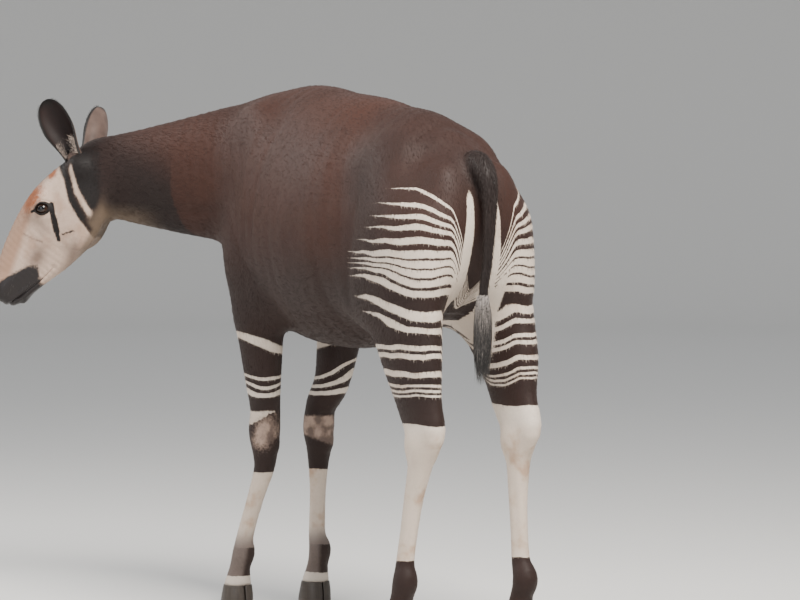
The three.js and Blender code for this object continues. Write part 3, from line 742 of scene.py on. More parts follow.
def along_and_across_neck(x, y):
    along = (x - 330) * math.cos(NECK_YAW) + y * math.sin(NECK_YAW)
    across = -(x - 330) * math.sin(NECK_YAW) + y * math.cos(NECK_YAW)
    return along, across


def shape_body(places, normals):
    x, y, z = places.T
    side = np.abs(y)
    trunk_part = smooth(-620, -560, x) * (1 - smooth(420, 520, x)) * smooth(650, 760, z)
    ribs = 1.0 * np.sin((x + 0.25 * (z - 1100)) / 22) * bell(x - 40, 150) * bell(z - 1080, 170)
    blade = -4 * bell(x - (215 - 0.22 * (z - 1200)), 16)
    blade = blade * smooth(1010, 1100, z) * (1 - smooth(1330, 1420, z))
    spine_of_blade = 3 * bell(x - (292 - 0.12 * (z - 1200)), 16)
    spine_of_blade = spine_of_blade * smooth(1060, 1140, z) * (1 - smooth(1340, 1400, z))
    flank = -7 * bell(np.hypot((x + 215) / 60, (z - 1230) / 90), 1)
    thigh = -4 * bell(x - (-262 - 0.18 * (z - 1000)), 18) * smooth(860, 930, z) * (1 - smooth(1150, 1230, z))
    arm = -4 * bell(z - (1010 + 0.5 * (x - 330)), 16) * bell(x - 330, 90)
    relief = (ribs + blade + spine_of_blade + flank + thigh + arm) * (side > 60) * trunk_part
    return places + normals * relief[:, None]


def shape_tendons(places, normals):
    """A groove down each side of the cannon, between the bone and the tendon behind it."""
    relief = np.zeros(len(places))
    for leg in (FORE_LEFT, FORE_RIGHT, HIND_LEFT, HIND_RIGHT):
        knee, foot = top_of_cannon(leg), leg["foot"]
        share = np.clip((places[:, 2] - 150) / 300, 0, 1)
        middle_x = between(foot[0] - 22, knee[0], share)
        middle_y = between(foot[1], knee[1], share)
        close = np.hypot(places[:, 0] - middle_x, places[:, 1] - middle_y) < 60
        groove = -2.6 * bell(places[:, 0] - middle_x + 6, 5) * smooth(180, 220, places[:, 2])
        relief += groove * close * (1 - smooth(380, 430, places[:, 2]))
    return places + normals * relief[:, None]


def shape_neck_folds(places, normals):
    x, y, z = places.T
    along, across = along_and_across_neck(x, y)
    on = smooth(40, 120, along) * (1 - smooth(560, 640, along)) * (np.abs(across) > 20)
    gullet = -3.5 * bell(z - (1140 - along * 0.02), 16) * smooth(150, 240, along)
    folds = -2.2 * bell(along - 96 - 0.18 * (z - 1200), 9)
    folds = folds - 1.6 * bell(along - 140 - 0.2 * (z - 1200), 8)
    return places + normals * (on * (gullet + folds * (z < 1330)))[:, None]


places = shape_body(places, normals)
places = shape_tendons(places, normals)
places = shape_neck_folds(places, normals)
for vertex, place in zip(skin_net.verts, places):
    vertex.co = place * MILLIMETRE + LIFT_OFF


# %% [markdown]
# ## Where everything on the coat lies
#
# Markings and hair both need to know where on the animal they are, so each vertex gets a few
# numbers: which limb it belongs to, a height that follows the bend of the stripes, masks for
# the face, and the direction in which the hair lies. The numbers change slowly over the skin,
# and the material turns them into crisp bands, so the bands are sharper than the mesh.

# %% Which limb, and how far along and round it
LIMBS = {
    "trunk": ([trunk, *trunk_muscles], None),
    "neck": ([neck], None),
    "head": ([head, *head_forms], None),
    "fore_left": ([foreleg(**FORE_LEFT)], FORE_LEFT),
    "fore_right": ([foreleg(**FORE_RIGHT)], FORE_RIGHT),
    "hind_left": ([hindleg(**HIND_LEFT)], HIND_LEFT),
    "hind_right": ([hindleg(**HIND_RIGHT)], HIND_RIGHT),
    "tail": ([tail], None),
}
LIMB_NAMES = list(LIMBS)


reach = np.stack([np.min([value(places) for value, _ in parts], 0) for parts, _ in LIMBS.values()])
limb = np.argmin(reach, 0)


def share_of(name, width=14.0):
    """One well on a limb, zero well off it, and half at the join."""
    row = LIMB_NAMES.index(name)
    others = np.delete(reach, row, 0).min(0)
    return 1 / (1 + np.exp(np.clip((reach[row] - others) / width, -30, 30)))


print({name: int((limb == i).sum()) for i, name in enumerate(LIMB_NAMES)})


def is_limb(*names):
    return np.isin(limb, [LIMB_NAMES.index(n) for n in names])


# %% Lie of the hair
def lie_of(places):
    x, y, z = places.T
    lie = np.tile([-1.0, 0.0, -0.35], (len(places), 1))
    rump = smooth(-250, -560, x)
    lie += rump[:, None] * np.array([0.5, 0.0, -1.2])
    down = is_limb("fore_left", "fore_right", "hind_left", "hind_right", "tail")
    lie[down] = [-0.12, 0.0, -1.0]
    back_along_neck = -np.array([math.cos(NECK_YAW), math.sin(NECK_YAW), 0.0])
    lie[is_limb("neck")] = back_along_neck + [0, 0, -0.45]
    s, l, n = head_place(places).T
    on_head_now = is_limb("head")
    lie[on_head_now] = -ALONG_HEAD + np.array([0, 0, -0.25])
    return lie / np.linalg.norm(lie, axis=1)[:, None]


lie = lie_of(places)

# %% Stripes of the hind legs
def across_view(x, y):
    """How far a place lies to the right, seen from behind the animal's left flank."""
    return -0.545 * x - 0.839 * y


def round_the_haunch(places):
    """Grows from the front of the thigh, round its outside, to the buttock."""
    return across_view(places[:, 0] / 1000, np.abs(places[:, 1]) / 1000)


def stripe_height_hind(places):
    z = places[:, 2] / 1000
    r = round_the_haunch(places)
    high = smooth(1.03, 1.18, z)
    middle = smooth(0.80, 0.88, z) * (1 - smooth(0.98, 1.04, z))
    droop = -0.050 * high * (np.maximum(r - 0.14, 0) / 0.10) ** 1.6
    droop -= 0.10 * (np.maximum(r - 0.235, 0) / 0.03) ** 2 * smooth(0.80, 0.9, z)
    inner = smooth(122, 84, np.abs(places[:, 1])) * smooth(0.92, 0.86, z) * smooth(0.60, 0.68, z)
    droop -= 0.034 * inner
    lift = middle * (0.046 * (1 - smooth(0.01, 0.15, r)) + 0.008 * smooth(0.18, 0.23, r))
    height = z - droop - lift
    lower = 0.045 * is_limb("hind_right") * (1 - smooth(0.72, 0.98, z)) * smooth(0.3, 0.5, z)
    return height - lower


def stripe_reach_hind(places):
    """One where the stripes are full, zero where the plain coat begins."""
    z = places[:, 2] / 1000
    r = round_the_haunch(places)
    start = np.interp(z, [0.79, 0.80, 0.84, 0.88, 0.93, 1.03, 1.075, 1.13, 1.17, 1.215],
                      [-0.4, 0.0, 0.0, -0.015, -0.045, -0.055, -0.035, -0.01, 0.01, 0.04])
    along = np.clip((r - start) / (0.085 + 0.07 * smooth(1.03, 1.1, z)), 0, 1)
    along = along + 0.13 * bell(z - 0.985, 0.06) * smooth(0.03, 0.12, r)
    under = 1 - smooth(1.215, 1.235, z)
    behind = smooth(-0.15, -0.25, places[:, 0] / 1000)
    return along * under * behind


# %% Bands of the forelegs
def middle_of_fore(y):
    """The middle of a foreleg on the axis that runs across both, seen from the flank."""
    return np.where(y > 0, -0.282, -0.112)


def stripe_height_fore(places):
    """Heights that make the level bands of the ramp slant and smile as the real ones do."""
    x, y, z = (places / 1000).T
    off_middle = across_view(x, y) - middle_of_fore(y)
    slope = -0.42 * off_middle * bell(z - 0.765, 0.045) * (y > 0)
    slope += 0.55 * off_middle * bell(z - 0.70, 0.06) * (y < 0)
    smile = 1.1 * off_middle ** 2 / 0.04 * bell(z - 0.64, 0.035) * (y > 0)
    return z - slope - 0.2 * smile


def stripe_reach_fore(places):
    """Cuts the white band over the knees down to a wedge in front of the left one."""
    x, y, z = (places / 1000).T
    near_top = smooth(0.578, 0.572, z) * smooth(0.50, 0.51, z)
    wedge_edge = np.interp(z, [0.515, 0.530, 0.545, 0.558, 0.570],
                           [-0.050, -0.030, -0.012, 0.010, 0.042])
    wedge = smooth(0.004, -0.004, across_view(x, y) - middle_of_fore(y) - wedge_edge) * (y > 0)
    full = 1 - near_top * (1 - wedge)
    return is_limb("fore_left", "fore_right") * (1 - smooth(0.80, 0.83, z)) * full


# %% Masks of the face
def streak(s, n, start, end, half):
    """One on a line between two places of the face, fading out at its half width."""
    a, b = np.array(start), np.array(end)
    offset = np.stack([s, n], 1) - a
    share = np.clip(offset @ (b - a) / ((b - a) @ (b - a)), 0, 1)
    gap = np.linalg.norm(offset - np.outer(share, b - a), axis=1)
    return smooth(half * 1.3, half * 0.7, gap)


def cheek_edge(n):
    """Where the dark band from the foot of the ear to the jaw lies along the head."""
    return np.interp(n, [-120, -61, -3, 48, 88, 110], [176, 150, 121, 76, 58, 52])


def eye_opening(places):
    found = np.full(len(places), 9.0)
    for side in (1, -1):
        centre, out, along, up = eye_frame(side)
        offset = places - centre
        level, rise = slanted(offset @ along, offset @ up)
        near = np.linalg.norm(offset, axis=1) < 48
        found = np.where(near, np.minimum(found, almond(level, rise)), found)
    return found


def face_masks(places):
    s, l, n = head_place(places).T
    on = share_of("head", 6.0)
    past = s - cheek_edge(n)
    pale = on * smooth(2, 14, past)
    pale_streak = on * bell(past + 30, 12) * smooth(-95, -70, n) * smooth(62, 44, n)
    pale = np.maximum(pale, 0.95 * pale_streak)
    opening = eye_opening(places)
    dark = np.maximum(streak(s, n, (168, 36), (200, 6), 8.0), streak(s, n, (199, 6), (224, -18), 9.5))
    dark = np.maximum(dark, streak(s, n, (218, -12), (243, -36), 6.0))
    dark = np.maximum(dark, 0.75 * streak(s, n, (194, -62), (224, -37), 2.6))
    dark = np.maximum(dark, bell(past, 12) * smooth(-84, -60, n))
    dark = np.maximum(dark, smooth(1.60, 1.32, opening))
    dark = np.maximum(dark, streak(s, n, (204, 64), (217, 74), 4.0))
    behind = on * smooth(-30, -46, past) * smooth(-95, -60, n)
    dark = np.maximum(dark * on, behind)
    rust = on * bell(np.hypot((s - 188) / 50, (n - 102) / 34), 1.0)
    rust = np.maximum(rust, on * bell(np.hypot((s - 96) / 20, (n - 92) / 16), 1.0))
    rust = rust * (1 - 0.75 * bell(l, 17))
    lower = (mouth_gap(s, n) < 0) & (s > 300)
    upper_edge = 347 + 14 * np.log1p(np.exp(np.clip((1.9 * n + 5) / 14, -20, 20)))
    upper_edge += 26 * smooth(-22, -48, n)
    muzzle = on * smooth(-22, 18, s - np.where(lower, 386.0, upper_edge))
    return pale, dark, rust, muzzle


# %% A flat map of the skin for the roots of the hair
def unwrap(places):
    """Each limb unrolled round its own length, in a square of its own on the map."""
    flat = np.zeros((len(places), 2))
    x, y, z = places.T
    s, l, n = head_place(places).T
    along_neck, across_neck = along_and_across_neck(x, y)
    for i, name in enumerate(LIMB_NAMES):
        here = limb == i
        if name == "trunk":
            run_length, turn = (x + 700) / 1300, np.arctan2(y, z - 1110)
        elif name == "neck":
            run_length, turn = along_neck / 800, np.arctan2(across_neck, z - 1240)
        elif name == "head":
            run_length, turn = (s + 60) / 620, np.arctan2(l, n)
        elif name == "tail":
            run_length, turn = (z - 700) / 700, np.arctan2(y - 10, x + 622)
        else:
            leg = LIMBS[name][1]
            top = top_of_cannon(leg)
            hip = -430 if "hock" in leg else 340
            middle_x = np.interp(z, [60, 450, 900], [leg["foot"][0], top[0], hip])
            middle_y = np.interp(z, [60, 450, 900], [leg["foot"][1], top[1], leg["side"] * 135])
            run_length, turn = z / 1250, np.arctan2(y - middle_y, x - middle_x)
        column, row = i % 3, i // 3
        flat[here, 0] = (column + 0.04 + 0.92 * (turn[here] / (2 * np.pi) + 0.5)) / 3
        flat[here, 1] = (row + 0.04 + 0.92 * np.clip(run_length[here], 0, 1)) / 3
    return flat


# %% Writing the numbers onto the skin
def plain_mesh(name, made):
    mesh = bpy.data.meshes.new(name)
    made.to_mesh(mesh)
    made.free()
    return mesh


def write_number(mesh, name, numbers):
    mesh.attributes.new(name, "FLOAT", "POINT").data.foreach_set("value", np.asarray(numbers, np.float32))


def write_vector(mesh, name, vectors):
    data = np.asarray(vectors, np.float32).ravel()
    mesh.attributes.new(name, "FLOAT_VECTOR", "POINT").data.foreach_set("vector", data)


def show(obj):
    bpy.context.scene.collection.objects.link(obj)
    return obj


skin_mesh = plain_mesh("skin", skin_net)
skin_mesh.shade_smooth()
x, y, z = places.T
pale, face_dark, rust, muzzle = face_masks(places)
not_tail = 1 - share_of("tail", 3.0)
tail_gap = np.abs(y - 4)
wider = 16 * smooth(1230, 1000, z)
beside_tail = smooth(-495, -530, x) * smooth(24, 34, tail_gap)
beside_tail = beside_tail * smooth(54, 40, tail_gap - wider) * smooth(1240, 1170, z)
inner_thigh = is_limb("hind_left", "hind_right") * smooth(102, 74, np.abs(y)) * smooth(650, 720, z)
striped = is_limb("hind_left", "hind_right", "trunk")
for name, numbers in {
    "hind_height": stripe_height_hind(places),
    "hind_reach": stripe_reach_hind(places) * striped * not_tail,
    "margin": np.clip(beside_tail * smooth(820, 860, z) + inner_thigh, 0, 1) * not_tail,
    "fore_height": stripe_height_fore(places),
    "fore_reach": stripe_reach_fore(places),
    "face_pale": pale,
    "face_dark": np.clip(face_dark, 0, 1),
    "face_rust": rust,
    "muzzle": muzzle,
}.items():
    write_number(skin_mesh, name, numbers)
write_vector(skin_mesh, "lie", lie)
write_vector(skin_mesh, "root", np.column_stack([unwrap(places), np.zeros(len(places))]))
skin = show(bpy.data.objects.new("skin", skin_mesh))
FLESH_NODES = ["torso", "neck", "head", "foreleg_left", "foreleg_right", "hindleg_left",
               "hindleg_right", "tail"]
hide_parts(*FLESH_NODES)
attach(skin, "root")
print("skin triangles:", sum(len(p.vertices) - 2 for p in skin_mesh.polygons))

# %% [markdown]
# ## A few words for wiring materials
#
# A procedural material is a small drawing of boxes and wires. Written out in Python it takes
# three lines for each box, so we give ourselves short words: one makes a box and wires its
# inputs, and a few more stand for the sums that come up again and again.


# %% Words for nodes
def wire(tree, target, value):
    if isinstance(value, bpy.types.NodeSocket):
        tree.links.new(value, target)
    elif value is not None:
        target.default_value = value


def box_of(tree, kind, inputs, **settings):
    node = tree.nodes.new(kind)
    for name, value in settings.items():
        setattr(node, name, value)
    for key, value in inputs.items():
        wire(tree, node.inputs[key], value)
    return node


def sums(tree, operation, *values):
    return box_of(tree, "ShaderNodeMath", dict(enumerate(values)), operation=operation).outputs[0]


def mixed(tree, share, first, second):
    node = box_of(tree, "ShaderNodeMix", {0: share, 6: first, 7: second}, data_type="RGBA")
    return node.outputs[2]


def step_between(tree, value, low, high):
    node = box_of(tree, "ShaderNodeMapRange", {0: value, 1: low, 2: high}, interpolation_type="SMOOTHSTEP")
    return node.outputs[0]


def cloud(tree, where, scale, detail=2.0, rough=0.5):
    node = box_of(tree, "ShaderNodeTexNoise",
                  {"Vector": where, "Scale": scale, "Detail": detail, "Roughness": rough})
    return node.outputs[0]


def number_of(tree, name, kind="Fac"):
    return box_of(tree, "ShaderNodeAttribute", {}, attribute_name=name).outputs[kind]


def vector_of(tree, name):
    return number_of(tree, name, "Vector")


def set_values(shader, **constants):
    """Constants of the finish, by the socket's name with underscores for its spaces."""
    for name, value in constants.items():
        shader.inputs[name.replace("_", " ")].default_value = value


def object_spot(tree):
    return box_of(tree, "ShaderNodeTexCoord", {}).outputs["Object"]


def add_bump(tree, shader, height, strength, distance):
    bump = box_of(tree, "ShaderNodeBump", {"Height": height, "Strength": strength, "Distance": distance})
    wire(tree, shader.inputs["Normal"], bump.outputs[0])


def blank(name):
    made = bpy.data.materials.new(name)
    made.use_nodes = True
    tree = made.node_tree
    tree.nodes.clear()
    shader = tree.nodes.new("ShaderNodeBsdfPrincipled")
    out = tree.nodes.new("ShaderNodeOutputMaterial")
    tree.links.new(shader.outputs[0], out.inputs[0])
    return made, tree, shader


# %% [markdown]
# ## The coat's markings
#
# The okapi's stripes are one pattern: a row of bands up each leg. A colour ramp holds such a
# row, with a peak for every white stripe, and the height that we wrote on the skin chooses the
# place in it. Where the stripes run out on the flank, the peaks have to rise higher to show,
# so each stripe narrows to a point as the real ones do. A little noise frays the edges.

# %% Rows of bands: the height of each white stripe and half its thickness, in metres
HIND_STRIPES = [(1.209, 0.0050), (1.169, 0.0070), (1.137, 0.0075), (1.108, 0.0080), (1.073, 0.0085),
                (1.039, 0.0095), (1.012, 0.0090), (0.986, 0.0085), (0.959, 0.0090), (0.930, 0.0085)]
GASKIN_STRIPES = [(0.871, 0.0125), (0.834, 0.0075), (0.789, 0.0062), (0.767, 0.0065), (0.719, 0.0075),
                  (0.6875, 0.0036), (0.673, 0.0034), (0.660, 0.0028)]
FORE_BANDS = [(0.763, 0.0140), (0.6635, 0.0050), (0.6370, 0.0050), (0.6150, 0.0062), (0.548, 0.0200)]


def row_of(stripes, shin):
    """Stops of a ramp: a peak at every stripe and a valley between it and the next."""
    rising = sorted(stripes)
    stops = [*shin, (rising[0][0] - 2 * rising[0][1], 0.0)]
    for (height, half), (above, above_half) in zip(rising, rising[1:]):
        stops.append((height, 1.0))
        room = above - height
        if 2 * (half + above_half) > room:
            valley = height + room * half / (half + above_half)
            stops.append((valley, 1 - room / (2 * (half + above_half))))
        else:
            stops.append((height + 2 * half, 0.0))
            stops.append((above - 2 * above_half, 0.0))
    stops.append((rising[-1][0], 1.0))
    stops.append((rising[-1][0] + 2 * rising[-1][1], 0.0))
    return stops


HIND_SHIN = [(0.0, 0.0), (0.209, 0.0), (0.222, 1.0), (0.577, 1.0), (0.592, 0.0)]
FORE_SHIN = [(0.0, 0.0), (0.040, 0.0), (0.048, 1.0), (0.082, 1.0), (0.096, 0.0), (0.162, 0.0),
             (0.184, 1.0), (0.386, 1.0), (0.400, 0.0)]


def ramp_of(tree, height, stops, low, high):
    scaled = box_of(tree, "ShaderNodeMapRange", {0: height, 1: low, 2: high}).outputs[0]
    node = box_of(tree, "ShaderNodeValToRGB", {0: scaled})
    ramp = node.color_ramp
    places = [((h - low) / (high - low), v) for h, v in stops]
    ramp.elements[0].position = places[0][0]
    ramp.elements[1].position = places[-1][0]
    for place, _ in places[1:-1]:
        ramp.elements.new(place)
    for element, (place, value) in zip(ramp.elements, sorted(places)):
        element.position = place
        element.color = (value, value, value, 1)
    return node.outputs[0]


# %% Colours of the coat
CHOCOLATE = (0.046, 0.0155, 0.0090, 1)
NEAR_BLACK = (0.0068, 0.0044, 0.0040, 1)
CREAM = (0.62, 0.54, 0.46, 1)
TAN = (0.36, 0.205, 0.115, 1)
CHEEK = (0.52, 0.395, 0.315, 1)
RUST = (0.23, 0.068, 0.021, 1)
BRIDGE = (0.31, 0.190, 0.130, 1)
MUZZLE_SKIN = (0.016, 0.0125, 0.0125, 1)
ANKLE = (0.150, 0.115, 0.100, 1)
KNEE = (0.36, 0.255, 0.200, 1)
KNEE_SHADE = (0.13, 0.090, 0.072, 1)


def white_share(tree, spot):
    """How white the bands make the coat at a place: 0 dark, 1 white."""
    waver = sums(tree, "MULTIPLY_ADD", cloud(tree, spot, 9.0, 3.0), 0.022, -0.011)
    fray = sums(tree, "MULTIPLY_ADD", cloud(tree, spot, 240.0, 2.0), 0.30, -0.15)
    hind = sums(tree, "ADD", number_of(tree, "hind_height"), waver)
    upper = ramp_of(tree, hind, row_of(HIND_STRIPES, [(0.90, 0.0)]), 0.90, 1.26)
    lower = ramp_of(tree, hind, row_of(GASKIN_STRIPES, HIND_SHIN), 0.0, 0.912)
    is_upper = step_between(tree, hind, 0.908, 0.911)
    band = sums(tree, "ADD", sums(tree, "MULTIPLY", upper, is_upper),
                sums(tree, "MULTIPLY", lower, sums(tree, "SUBTRACT", 1.0, is_upper)))
    need = sums(tree, "MULTIPLY_ADD", number_of(tree, "hind_reach"), -0.62, 1.12)
    frayed = sums(tree, "SUBTRACT", sums(tree, "ADD", band, fray), need)
    hind_white = step_between(tree, frayed, -0.07, 0.07)
    fore = sums(tree, "MULTIPLY_ADD", waver, 0.7, number_of(tree, "fore_height"))
    fore_band = ramp_of(tree, fore, row_of(FORE_BANDS, FORE_SHIN), 0.0, 0.82)
    fore_need = sums(tree, "MULTIPLY_ADD", number_of(tree, "fore_reach"), -0.9, 1.4)
    fore_frayed = sums(tree, "SUBTRACT", sums(tree, "ADD", fore_band, fray), fore_need)
    fore_white = step_between(tree, fore_frayed, -0.07, 0.07)
    edge = step_between(tree, sums(tree, "ADD", number_of(tree, "margin"), fray), 0.40, 0.60)
    return sums(tree, "MAXIMUM", sums(tree, "MAXIMUM", hind_white, fore_white), edge)


def frayed_mask(tree, name, fine):
    """A mask whose edge breaks up into single hairs."""
    loose = sums(tree, "MULTIPLY_ADD", sums(tree, "SUBTRACT", fine, 0.5), 0.9, number_of(tree, name))
    return step_between(tree, loose, 0.15, 0.85)


def coat_colour(tree):
    spot = vector_of(tree, "spot")
    broad = cloud(tree, spot, 4.0, 3.0)
    fine = cloud(tree, spot, 160.0, 3.0, 0.6)
    drift = sums(tree, "MULTIPLY_ADD", broad, 1.1, 0.35)
    redness = sums(tree, "MULTIPLY", number_of(tree, "redness"), drift)
    dark = mixed(tree, redness, NEAR_BLACK, CHOCOLATE)
    dark = mixed(tree, number_of(tree, "ankle"), dark, ANKLE)
    dark = mixed(tree, sums(tree, "MULTIPLY", fine, 0.35), dark, (0.004, 0.0025, 0.0022, 1))
    blotch = step_between(tree, cloud(tree, spot, 14.0, 3.0), 0.50, 0.78)
    tan_part = sums(tree, "MULTIPLY", number_of(tree, "tan"), sums(tree, "ADD", blotch, 0.25))
    white = mixed(tree, sums(tree, "MINIMUM", tan_part, 0.8), CREAM, TAN)
    white = mixed(tree, sums(tree, "MULTIPLY", fine, 0.45), white, (0.36, 0.30, 0.25, 1))
    white = mixed(tree, number_of(tree, "fetlock"), white, ANKLE)
    colour = mixed(tree, white_share(tree, spot), dark, white)
    face = mixed(tree, sums(tree, "MULTIPLY", fine, 0.55), CHEEK, (0.30, 0.20, 0.16, 1))
    face = mixed(tree, number_of(tree, "bridge"), face, BRIDGE)
    blush = step_between(tree, cloud(tree, spot, 17.0, 3.0), 0.48, 0.72)
    face = mixed(tree, sums(tree, "MULTIPLY", blush, 0.55), face, BRIDGE)
    # Painted shade in the face's hollow, crease and under the jaw, and a darker forehead midline, mix the
    # face towards dark brown.
    face = mixed(tree, number_of(tree, "face_shade"), face, (0.085, 0.048, 0.034, 1))
    colour = mixed(tree, frayed_mask(tree, "face_pale", fine), colour, face)
    colour = mixed(tree, frayed_mask(tree, "face_rust", fine), colour, RUST)
    colour = mixed(tree, number_of(tree, "throat"), colour, (0.12, 0.085, 0.058, 1))
    knee = mixed(tree, step_between(tree, cloud(tree, spot, 30.0, 3.0), 0.36, 0.62), KNEE, KNEE_SHADE)
    colour = mixed(tree, sums(tree, "MULTIPLY", frayed_mask(tree, "knee", fine), 0.9), colour, knee)
    colour = mixed(tree, frayed_mask(tree, "face_dark", fine), colour, NEAR_BLACK)
    return mixed(tree, frayed_mask(tree, "muzzle", fine), colour, MUZZLE_SKIN), spot


def coat_material(name, fur_bump):
    made, tree, shader = blank(name)
    colour, spot = coat_colour(tree)
    wire(tree, shader.inputs["Base Color"], colour)
    bare = number_of(tree, "muzzle")
    roughness = sums(tree, "MULTIPLY_ADD", bare, -0.26, 0.60)
    rough_noise = sums(tree, "MULTIPLY_ADD", cloud(tree, spot, 90.0), 0.14, -0.05)
    wire(tree, shader.inputs["Roughness"], sums(tree, "ADD", roughness, rough_noise))
    set_values(shader, Sheen_Weight=0.06, Sheen_Roughness=0.42, Sheen_Tint=(0.75, 0.62, 0.55, 1),
               Specular_IOR_Level=0.26)
    if fur_bump:
        grain = vector_of(tree, "grain")
        hair = cloud(tree, grain, 620.0, 3.0, 0.65)
        clumps = cloud(tree, grain, 190.0, 2.0)
        add_bump(tree, shader, sums(tree, "MULTIPLY_ADD", clumps, 0.2, hair), 0.45, 0.0009)
    return made


skin_coat = coat_material("okapi skin and velvet coat", True)
tuft_coat = coat_material("okapi coat tufts", False)
skin_mesh.materials.append(skin_coat)

# %% More numbers for the colours
s, l, n = head_place(places).T
head_part = share_of("head", 6.0)
legs_part = is_limb("hind_left", "hind_right", "fore_left", "fore_right").astype(float)
redness = 0.35 + 0.65 * smooth(900, 1150, z) * (1 - 0.5 * smooth(-150, -350, x))
redness = redness * (1 - 0.75 * smooth(-190, -40, s) * (x > 600)) * (1 - 0.8 * share_of("tail"))
tan = 0.9 * smooth(600, 540, z) * smooth(150, 240, z) * legs_part + 0.35 * smooth(640, 700, z)
bridge = head_part * smooth(0, 26, n - 62 + 0.22 * (s - 215)) * smooth(150, 230, s)
throat = head_part * smooth(-62, -104, n) * smooth(0, -14, s - cheek_edge(n))
throat = np.maximum(throat, 0.9 * head_part * smooth(-96, -110, n) * smooth(330, 250, s))
throat += (1 - head_part) * smooth(1165, 1105, z) * smooth(640, 790, x) * (x > 600)
throat = 0.85 * np.clip(throat, 0, 1)
on_fore = is_limb("fore_left", "fore_right")


def fore_axis(k):
    """Where the middle of the nearer foreleg lies at each height, from the foot to the knee."""
    left, right = (np.interp(z, [60, 515], [leg["foot"][k], leg["knee"][k]])
                   for leg in (FORE_LEFT, FORE_RIGHT))
    return np.where(y > 0, left, right)


across = across_view(x - fore_axis(0), y - fore_axis(1))
knee_oval = bell(np.hypot((across - 3) / 40, (z - 508 - 0.25 * across) / 50), 1.0)
knee_band = smooth(466, 486, z + 0.35 * across) * smooth(552, 540, z)
knee = on_fore * np.where(y > 0, knee_oval, knee_band)
# Painted shade on the face: darker in the hollow in front of the cheek, along a crease and in a patch before
# the eye, and under the edge of the jaw. The last term darkens the midline of the forehead.
face_shade = head_part * 0.75 * bell(np.hypot((s - 322) / 40, (n + 8) / 22), 1.0)
face_shade += head_part * 0.45 * np.maximum(streak(s, n, (287, 62), (283, 30), 2.4),
                                            streak(s, n, (283, 30), (275, 2), 2.4))
face_shade += head_part * 0.35 * bell(np.hypot((s - 236) / 20, (n - 24) / 40), 1.0)
face_shade += head_part * 0.5 * bell(n + 84 + 0.12 * (s - 200), 16) * smooth(190, 240, s)
face_shade += head_part * 0.85 * bell(l, 26) * smooth(66, 96, s) * smooth(232, 178, s) * (n > 40)
for name, numbers in {
    "knee": knee,
    "ankle": on_fore * smooth(240, 200, z) * (1 - 0.9 * smooth(4, 18, across)),
    "fetlock": on_fore * smooth(236, 172, z) * smooth(100, 116, z),
    "face_shade": np.clip(face_shade, 0, 1),
    "redness": redness,
    "tan": np.clip(tan, 0, 1),
    "bridge": bridge,
    "throat": throat,
}.items():
    write_number(skin_mesh, name, numbers)
write_vector(skin_mesh, "spot", places * MILLIMETRE)
along_lie = (places * lie).sum(1)[:, None] * lie
write_vector(skin_mesh, "grain", (places - 0.86 * along_lie) * MILLIMETRE)


# %% [markdown]
# ## Tufts where the coat breaks the outline
#
# The coat is so short that bump gives most of it, but along every outline single tufts catch
# the light. Geometry Nodes scatters them: points on the skin, a small bent tuft on each point,
# turned to lie along the coat, and every one made into real mesh at the end, as the finished
# model keeps no instances. Each tuft remembers the place of its root, so it takes the colour
# of the skin below it.

# %% One tuft
def tuft_mesh():
    """A tuft one metre long, three sided, that bends over and tapers to its tip."""
    rings = [(0.0, 0.0, 1.0), (0.52, 0.04, 0.74)]
    corners = []
    numbers = []
    for height, lean, size in rings:
        for angle, across in ((90, 0.5), (210, 0.0), (330, 1.0)):
            a = math.radians(angle)
            corners.append((lean + size * 0.024 * math.sin(a), size * 0.062 * math.cos(a), height))
            numbers.append((across, height, 0.0))
    corners.append((-0.045, 0.0, 1.0))
    numbers.append((0.5, 1.0, 0.0))
    faces = [(0, 2, 1)]
    for i in range(3):
        j = (i + 1) % 3
        faces.append((i, j, 3 + j, 3 + i))
        faces.append((3 + i, 3 + j, 6))
    mesh = bpy.data.meshes.new("one tuft")
    mesh.from_pydata(corners, [], faces)
    made = bmesh.new()
    made.from_mesh(mesh)
    bmesh.ops.recalc_face_normals(made, faces=made.faces)
    made.to_mesh(mesh)
    made.free()
    write_vector(mesh, "blade", numbers)
    return mesh


one_tuft = bpy.data.objects.new("one tuft", tuft_mesh())


